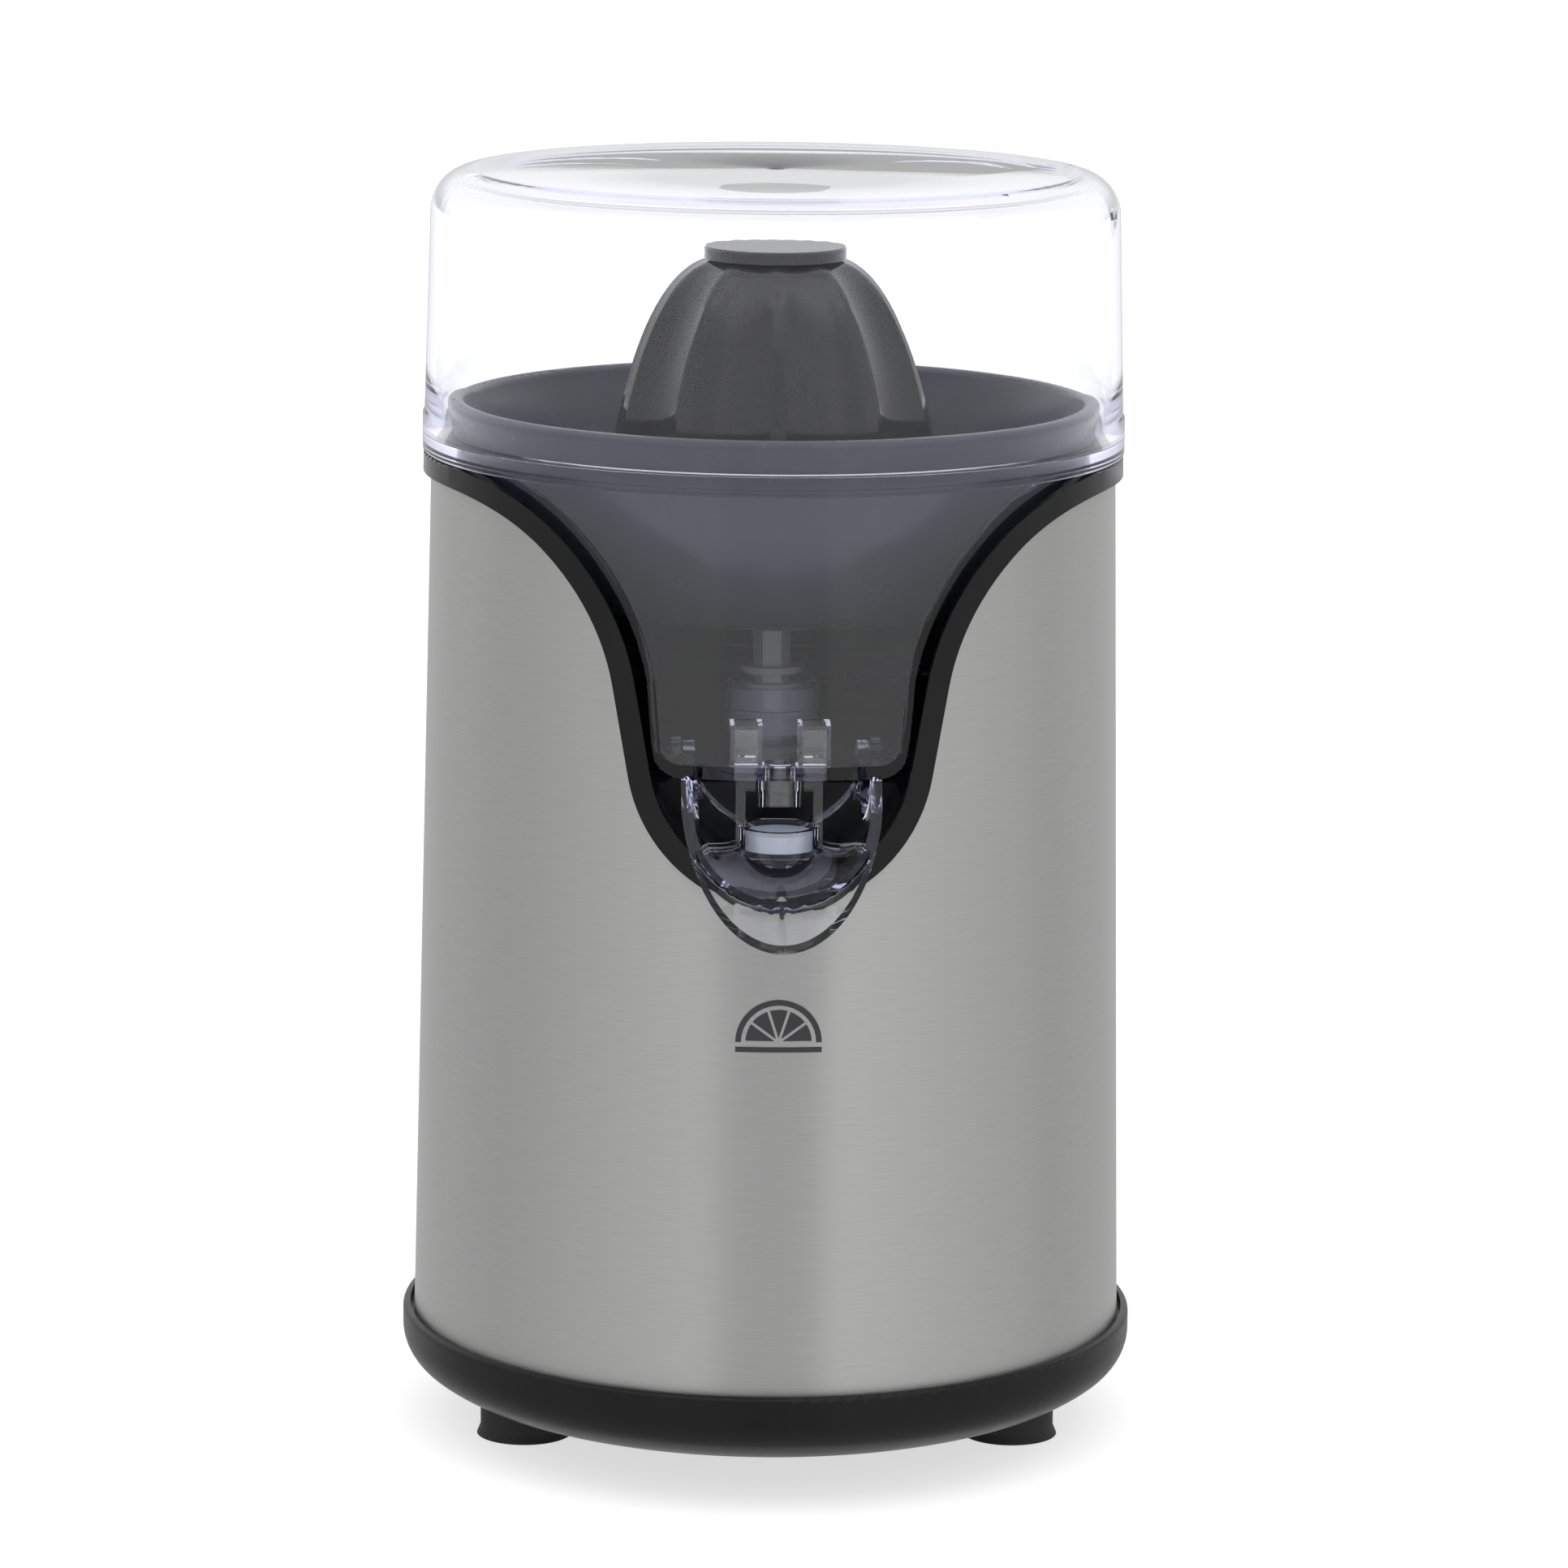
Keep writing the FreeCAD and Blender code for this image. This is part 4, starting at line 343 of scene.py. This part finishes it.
ferrite = metal("ferrite_magnet", (0.12, 0.12, 0.13), (0.08, 0.08, 0.085), 0.55, (1, 1, 1), 0.1)
print("metals ready")

# %% [markdown]
# ## Clear plastic
# The lid, the collector and the spout are clear polystyrene. A surface of it is almost
# invisible; what shows it are the reflections and the edges, where light has come a long way
# through the plastic and has turned faintly violet. Absorption inside the solid does this by
# itself. Glass also throws shadows that are too dark, so for shadow rays and for soft
# bounced light the shader steps aside for a plain transparent one.

# %% Material: clear plastic
def clear_plastic(name, density, roughness, ripple_strength, bend=1.42):
    """A clear solid that tints with depth and steps aside for shadow and diffuse rays."""
    material, tree, shader = new_material(
        name, Base_Color=(0.985, 0.987, 1.0, 1), Metallic=0.0, Transmission_Weight=1.0, IOR=bend)
    output = tree.nodes["Material Output"]
    skin = place_group(tree, moulded, Pebble_share=0.0, Wave_scale=22.0)
    rough = add_node(tree, "ShaderNodeMapRange", To_Min=roughness, To_Max=roughness + 0.012)
    join(tree, skin.outputs["Wear"], rough.inputs["Value"])
    join(tree, rough.outputs["Result"], shader.inputs["Roughness"])
    bump = add_node(tree, "ShaderNodeBump", Strength=ripple_strength, Distance=0.0002)
    join(tree, skin.outputs["Height"], bump.inputs["Height"])
    join(tree, bump.outputs["Normal"], shader.inputs["Normal"])
    see_through = add_node(tree, "ShaderNodeBsdfTransparent", Color=(0.93, 0.935, 0.96, 1))
    path = add_node(tree, "ShaderNodeLightPath")
    chosen = add_node(tree, "ShaderNodeMixShader")
    aside = add_node(tree, "ShaderNodeMath", {"operation": "MAXIMUM"})
    join(tree, path.outputs["Is Shadow Ray"], aside.inputs[0])
    join(tree, path.outputs["Is Diffuse Ray"], aside.inputs[1])
    join(tree, aside.outputs[0], chosen.inputs[0])
    join(tree, shader.outputs[0], chosen.inputs[1])
    join(tree, see_through.outputs[0], chosen.inputs[2])
    join(tree, chosen.outputs[0], output.inputs["Surface"])
    inside = add_node(tree, "ShaderNodeVolumeAbsorption",
                      Color=(0.30, 0.34, 0.90, 1), Density=density)
    join(tree, inside.outputs[0], output.inputs["Volume"])
    return material


lid_clear = clear_plastic("clear_lid_plastic", 11.0, 0.0, 0.006, 1.33)
collector_clear = clear_plastic("clear_collector_plastic", 16.0, 0.0, 0.01)
spout_clear = clear_plastic("clear_spout_plastic", 10.0, 0.0, 0.01)
print("clear plastics ready")

# %% [markdown]
# ## Every CAD part gets its finish
# The imported parts come as separate triangles. Welding them and then splitting only the sharp
# edges lets the curved faces shade smoothly while the real edges stay crisp. Both are
# modifiers, so the CAD meshes themselves stay as they are.

# %% Finish by part
FINISHES = {
    "steel_shell": steel,
    "front_bezel": bezel_black,
    "upper_housing": base_black, "base_ring": base_black, "bottom_cover": base_black,
    "cord_gland": base_black, "switch_case": base_black,
    "rubber_feet": foot_rubber,
    "juice_collector": collector_clear, "spout": spout_clear, "lid": lid_clear,
    "drip_plug": plug_silicone, "shaft_seal": plug_silicone, "spindle_seal": seal_rubber,
    "pulp_strainer": strainer_grey, "large_cone": cone_grey, "small_cone": cone_grey,
    "drive_shaft": white_plastic, "shaft_bush": white_plastic, "terminal_block": white_plastic,
    "gearbox_tray": gearbox_grey, "gearbox_cover": gearbox_grey, "switch_button": gearbox_grey,
    "output_gear": gear_plastic, "compound_gear": gear_plastic,
    "coil_bobbin_left": bobbin_plastic, "coil_bobbin_right": bobbin_plastic,
    "coil_winding_left": copper_wire, "coil_winding_right": copper_wire,
    "stator_core": iron_sheets, "rotor_magnet": ferrite,
    "upper_bush": bronze, "lower_bush": bronze,
    "rotor_upper_bush": bronze, "rotor_lower_bush": bronze,
    "motor_pinion": contact_brass, "switch_terminals": contact_brass,
    "terminal_screws": contact_brass,
    "return_spring": spring_steel,
}
WELD_DISTANCE = 0.000002
CRISP_ANGLE_DEG = 28


def dress(node, material):
    """Gives a CAD part its material and smooth shading with crisp edges."""
    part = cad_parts[node]
    part.data.materials.clear()
    part.data.materials.append(material)
    part.data.polygons.foreach_set("material_index", [0] * len(part.data.polygons))
    part.data.polygons.foreach_set("use_smooth", [True] * len(part.data.polygons))
    weld = part.modifiers.new("weld", "WELD")
    weld.merge_threshold = WELD_DISTANCE
    split = part.modifiers.new("crisp_edges", "EDGE_SPLIT")
    split.split_angle = math.radians(CRISP_ANGLE_DEG)


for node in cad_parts:
    dress(node, FINISHES.get(node, zinc_steel))
print(len(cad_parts), "CAD parts dressed")

# %% [markdown]
# ## The mark on the drum
# Machines like this carry a small printed mark on the front. Here it is a plain half slice of
# citrus: a rind, five segments and a bar underneath. It is built flat as a thin sheet of ink,
# then wrapped round the drum by bending each point to the drum's radius at its height.

# %% Printed half slice
drum_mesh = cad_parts["steel_shell"].data
drum_rim = [v.co for v in drum_mesh.vertices if v.co.z > drum_high.z - 1e-5]
LOW_RADIUS = (drum_high.x - drum_low.x) / 2
HIGH_RADIUS = max(math.hypot(p.x, p.y - AXIS_Y) for p in drum_rim)


def drum_radius(height):
    """The drum tapers evenly from its lower to its upper edge."""
    share = (height - drum_low.z) / (drum_high.z - drum_low.z)
    return LOW_RADIUS + (HIGH_RADIUS - LOW_RADIUS) * share


MARK_HEIGHT = drum_low.z + 0.0775
INK_THICKNESS = 0.00006
RIND_INNER, RIND_OUTER = 0.0078, 0.0090
SEGMENTS = 5
SEGMENT_TIP, SEGMENT_OUTER = 0.0009, 0.0069
SEGMENT_TURN_DEG = 36
SEGMENT_GAP_DEG = 2.5
BAR_LOW, BAR_HIGH = -0.0021, -0.0010
BAR_STEPS = 24
ink_mesh = bmesh.new()


def ink_ring_sector(inner, outer, start, end, steps):
    """One flat sector of a ring, angles in degrees, as a row of faces."""
    rows = []
    for index in range(steps + 1):
        turn = math.radians(start + (end - start) * index / steps)
        pair = [ink_mesh.verts.new((radius * math.cos(turn), radius * math.sin(turn), 0))
                for radius in (inner, outer)]
        rows.append(pair)
    for first, second in zip(rows, rows[1:]):
        ink_mesh.faces.new((first[0], first[1], second[1], second[0]))


def ink_wedge(tip, outer, start, end, steps):
    """One segment of the slice: a wedge with its tip moved out along its middle line."""
    middle = math.radians((start + end) / 2)
    corner = ink_mesh.verts.new((tip * math.cos(middle), tip * math.sin(middle), 0))
    rim = []
    for index in range(steps + 1):
        turn = math.radians(start + (end - start) * index / steps)
        rim.append(ink_mesh.verts.new((outer * math.cos(turn), outer * math.sin(turn), 0)))
    for first, second in zip(rim, rim[1:]):
        ink_mesh.faces.new((corner, first, second))


ink_ring_sector(RIND_INNER, RIND_OUTER, 0, 180, 40)
for index in range(SEGMENTS):
    ink_wedge(SEGMENT_TIP, SEGMENT_OUTER, index * SEGMENT_TURN_DEG + SEGMENT_GAP_DEG,
              (index + 1) * SEGMENT_TURN_DEG - SEGMENT_GAP_DEG, 10)
for index in range(BAR_STEPS):
    left = -RIND_OUTER + 2 * RIND_OUTER * index / BAR_STEPS
    right = left + 2 * RIND_OUTER / BAR_STEPS
    corners = [ink_mesh.verts.new((x, y, 0)) for x, y in
               ((left, BAR_LOW), (right, BAR_LOW), (right, BAR_HIGH), (left, BAR_HIGH))]
    ink_mesh.faces.new(corners)
for vert in ink_mesh.verts:
    height = MARK_HEIGHT + vert.co.y
    radius = drum_radius(height) + INK_THICKNESS
    turn = vert.co.x / radius
    vert.co = Vector((radius * math.sin(turn), AXIS_Y - radius * math.cos(turn), height))
bmesh.ops.remove_doubles(ink_mesh, verts=ink_mesh.verts, dist=1e-6)
bmesh.ops.recalc_face_normals(ink_mesh, faces=ink_mesh.faces)
mark_data = bpy.data.meshes.new("printed_slice_mark")
ink_mesh.to_mesh(mark_data)
ink_mesh.free()
printed_mark = bpy.data.objects.new("printed_slice_mark", mark_data)
bpy.context.scene.collection.objects.link(printed_mark)
ink = plastic("printed_ink", (0.035, 0.035, 0.038), 0.42, 0.02)
mark_data.materials.append(ink)
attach(printed_mark, "housing")
print("mark of", len(mark_data.polygons), "faces")

# %% [markdown]
# ## Floor
# The table is a matt white sheet. It glows a little, but only for the camera and for rays that
# look through clear plastic, so it reads as pure white without lighting the black base
# from below. Shiny surfaces don't see it at all: they reflect the tent alone.

# %% Floor
FLOOR_HALF_SIZE = 6.0
FLOOR_GAP = 0.0002
FLOOR_GLOW = 0.66

floor_data = bpy.data.meshes.new("floor")
floor_form = bmesh.new()
bmesh.ops.create_grid(floor_form, x_segments=8, y_segments=8, size=FLOOR_HALF_SIZE)
floor_form.to_mesh(floor_data)
floor_form.free()
floor = bpy.data.objects.new("floor", floor_data)
floor.location.z = cad_low.z - FLOOR_GAP
floor.visible_glossy = False
bpy.context.scene.collection.objects.link(floor)
floor_white, tree, shader = new_material("floor_white", Roughness=0.9, Specular_IOR_Level=0.0)
shader.inputs["Base Color"].default_value = (0.55, 0.55, 0.55, 1)
shader.inputs["Emission Color"].default_value = (1, 1, 1, 1)
path = add_node(tree, "ShaderNodeLightPath")
seen = add_node(tree, "ShaderNodeMath", {"operation": "MAXIMUM"})
glow = add_node(tree, "ShaderNodeMath", {"operation": "MULTIPLY"})
glow.inputs[1].default_value = FLOOR_GLOW
join(tree, path.outputs["Is Camera Ray"], seen.inputs[0])
join(tree, path.outputs["Is Transmission Ray"], seen.inputs[1])
join(tree, seen.outputs[0], glow.inputs[0])
join(tree, glow.outputs[0], shader.inputs["Emission Strength"])
floor_data.materials.append(floor_white)
print("floor at", round(floor.location.z, 4))

# %% [markdown]
# ## The white tent
# Steel is lit best inside a tent of white cloth. What the drum mirrors is the brightness of
# that cloth all round, so the tent is drawn as a ramp over the compass: two bright panels left
# and right of the camera, a dimmer gap between them where the camera stands, softer cloth
# behind, and a brighter roof. Straight through, and through clear plastic alone, the cloth is
# plain white.

# %% World
SEEN_WHITE = 1.02      # brightness of the cloth seen straight on
SKY_WHITE = 1.0        # brightness of the high cloth behind, which the lid mirrors
ROOF_BOOST = 1.9

world = bpy.data.worlds.new("white_tent")
bpy.context.scene.world = world
world.use_nodes = True
tent = world.node_tree
background = tent.nodes["Background"]
background.inputs["Color"].default_value = (1, 1, 1, 1)
where = add_node(tent, "ShaderNodeTexCoord")
apart = add_node(tent, "ShaderNodeSeparateXYZ")
join(tent, where.outputs["Generated"], apart.inputs[0])
front = add_node(tent, "ShaderNodeMath", {"operation": "MULTIPLY"})
front.inputs[1].default_value = -1.0
join(tent, apart.outputs["Y"], front.inputs[0])
compass = add_node(tent, "ShaderNodeMath", {"operation": "ARCTAN2"})
join(tent, apart.outputs["X"], compass.inputs[0])
join(tent, front.outputs[0], compass.inputs[1])
turn = add_node(tent, "ShaderNodeMapRange", From_Min=-math.pi, From_Max=math.pi)
join(tent, compass.outputs[0], turn.inputs["Value"])
cloth = add_node(tent, "ShaderNodeValToRGB")
CLOTH_STOPS = [(-180, 0.62), (-100, 0.60), (-88, 0.67), (-20, 0.86), (-15, 0.66),
               (15, 0.66), (19, 0.92), (92, 0.72), (104, 0.60), (180, 0.62)]
stops = cloth.color_ramp.elements
while len(stops) < len(CLOTH_STOPS):
    stops.new(0.5)
for stop, (degrees, level) in zip(stops, CLOTH_STOPS):
    stop.position = (degrees + 180) / 360
    stop.color = (level, level, level, 1)
join(tent, turn.outputs["Result"], cloth.inputs["Fac"])
above = add_node(tent, "ShaderNodeMapRange", From_Min=0.02, From_Max=0.20)
behind = add_node(tent, "ShaderNodeMapRange", From_Min=0.0, From_Max=0.5)
sky = add_node(tent, "ShaderNodeMath", {"operation": "MULTIPLY"})
join(tent, apart.outputs["Z"], above.inputs["Value"])
join(tent, apart.outputs["Y"], behind.inputs["Value"])
join(tent, above.outputs["Result"], sky.inputs[0])
join(tent, behind.outputs["Result"], sky.inputs[1])
seen_cloth = add_node(tent, "ShaderNodeMix", {"data_type": "FLOAT"})
seen_cloth.inputs["B"].default_value = SKY_WHITE
join(tent, sky.outputs[0], seen_cloth.inputs["Factor"])
overhead = add_node(tent, "ShaderNodeMapRange",
                    From_Min=0.62, From_Max=0.80, To_Min=1.0, To_Max=ROOF_BOOST)
roofed = add_node(tent, "ShaderNodeMath", {"operation": "MULTIPLY"})
join(tent, apart.outputs["Z"], overhead.inputs["Value"])
join(tent, cloth.outputs["Color"], roofed.inputs[0])
join(tent, overhead.outputs["Result"], roofed.inputs[1])
join(tent, roofed.outputs[0], seen_cloth.inputs["A"])
path = add_node(tent, "ShaderNodeLightPath")
straight = add_node(tent, "ShaderNodeMath", {"operation": "MAXIMUM"})
bounced = add_node(tent, "ShaderNodeMath", {"operation": "ADD"})
clear = add_node(tent, "ShaderNodeMath", {"operation": "LESS_THAN"})
clear.inputs[1].default_value = 0.5
direct = add_node(tent, "ShaderNodeMath", {"operation": "MULTIPLY"})
join(tent, path.outputs["Is Camera Ray"], straight.inputs[0])
join(tent, path.outputs["Is Transmission Ray"], straight.inputs[1])
join(tent, path.outputs["Diffuse Depth"], bounced.inputs[0])
join(tent, path.outputs["Glossy Depth"], bounced.inputs[1])
join(tent, bounced.outputs[0], clear.inputs[0])
join(tent, straight.outputs[0], direct.inputs[0])
join(tent, clear.outputs[0], direct.inputs[1])
level = add_node(tent, "ShaderNodeMix", {"data_type": "FLOAT"})
level.inputs["B"].default_value = SEEN_WHITE
join(tent, direct.outputs[0], level.inputs["Factor"])
join(tent, seen_cloth.outputs["Result"], level.inputs["A"])
join(tent, level.outputs["Result"], background.inputs["Strength"])
print("tent with", len(CLOTH_STOPS), "stops round the compass")

# %% [markdown]
# ## Colour management
# The plain Standard view keeps white cloth white and grey steel grey. Clear plastic needs many
# bounces, or its edges turn black. Caustics are off.

# %% View
bpy.context.scene.view_settings.view_transform = "Standard"
bpy.context.scene.view_settings.look = "None"
cycles = bpy.context.scene.cycles
cycles.max_bounces = 18
cycles.glossy_bounces = 14
cycles.transmission_bounces = 16
cycles.transparent_max_bounces = 16
cycles.caustics_refractive = False
cycles.caustics_reflective = False
print("view", bpy.context.scene.view_settings.view_transform)
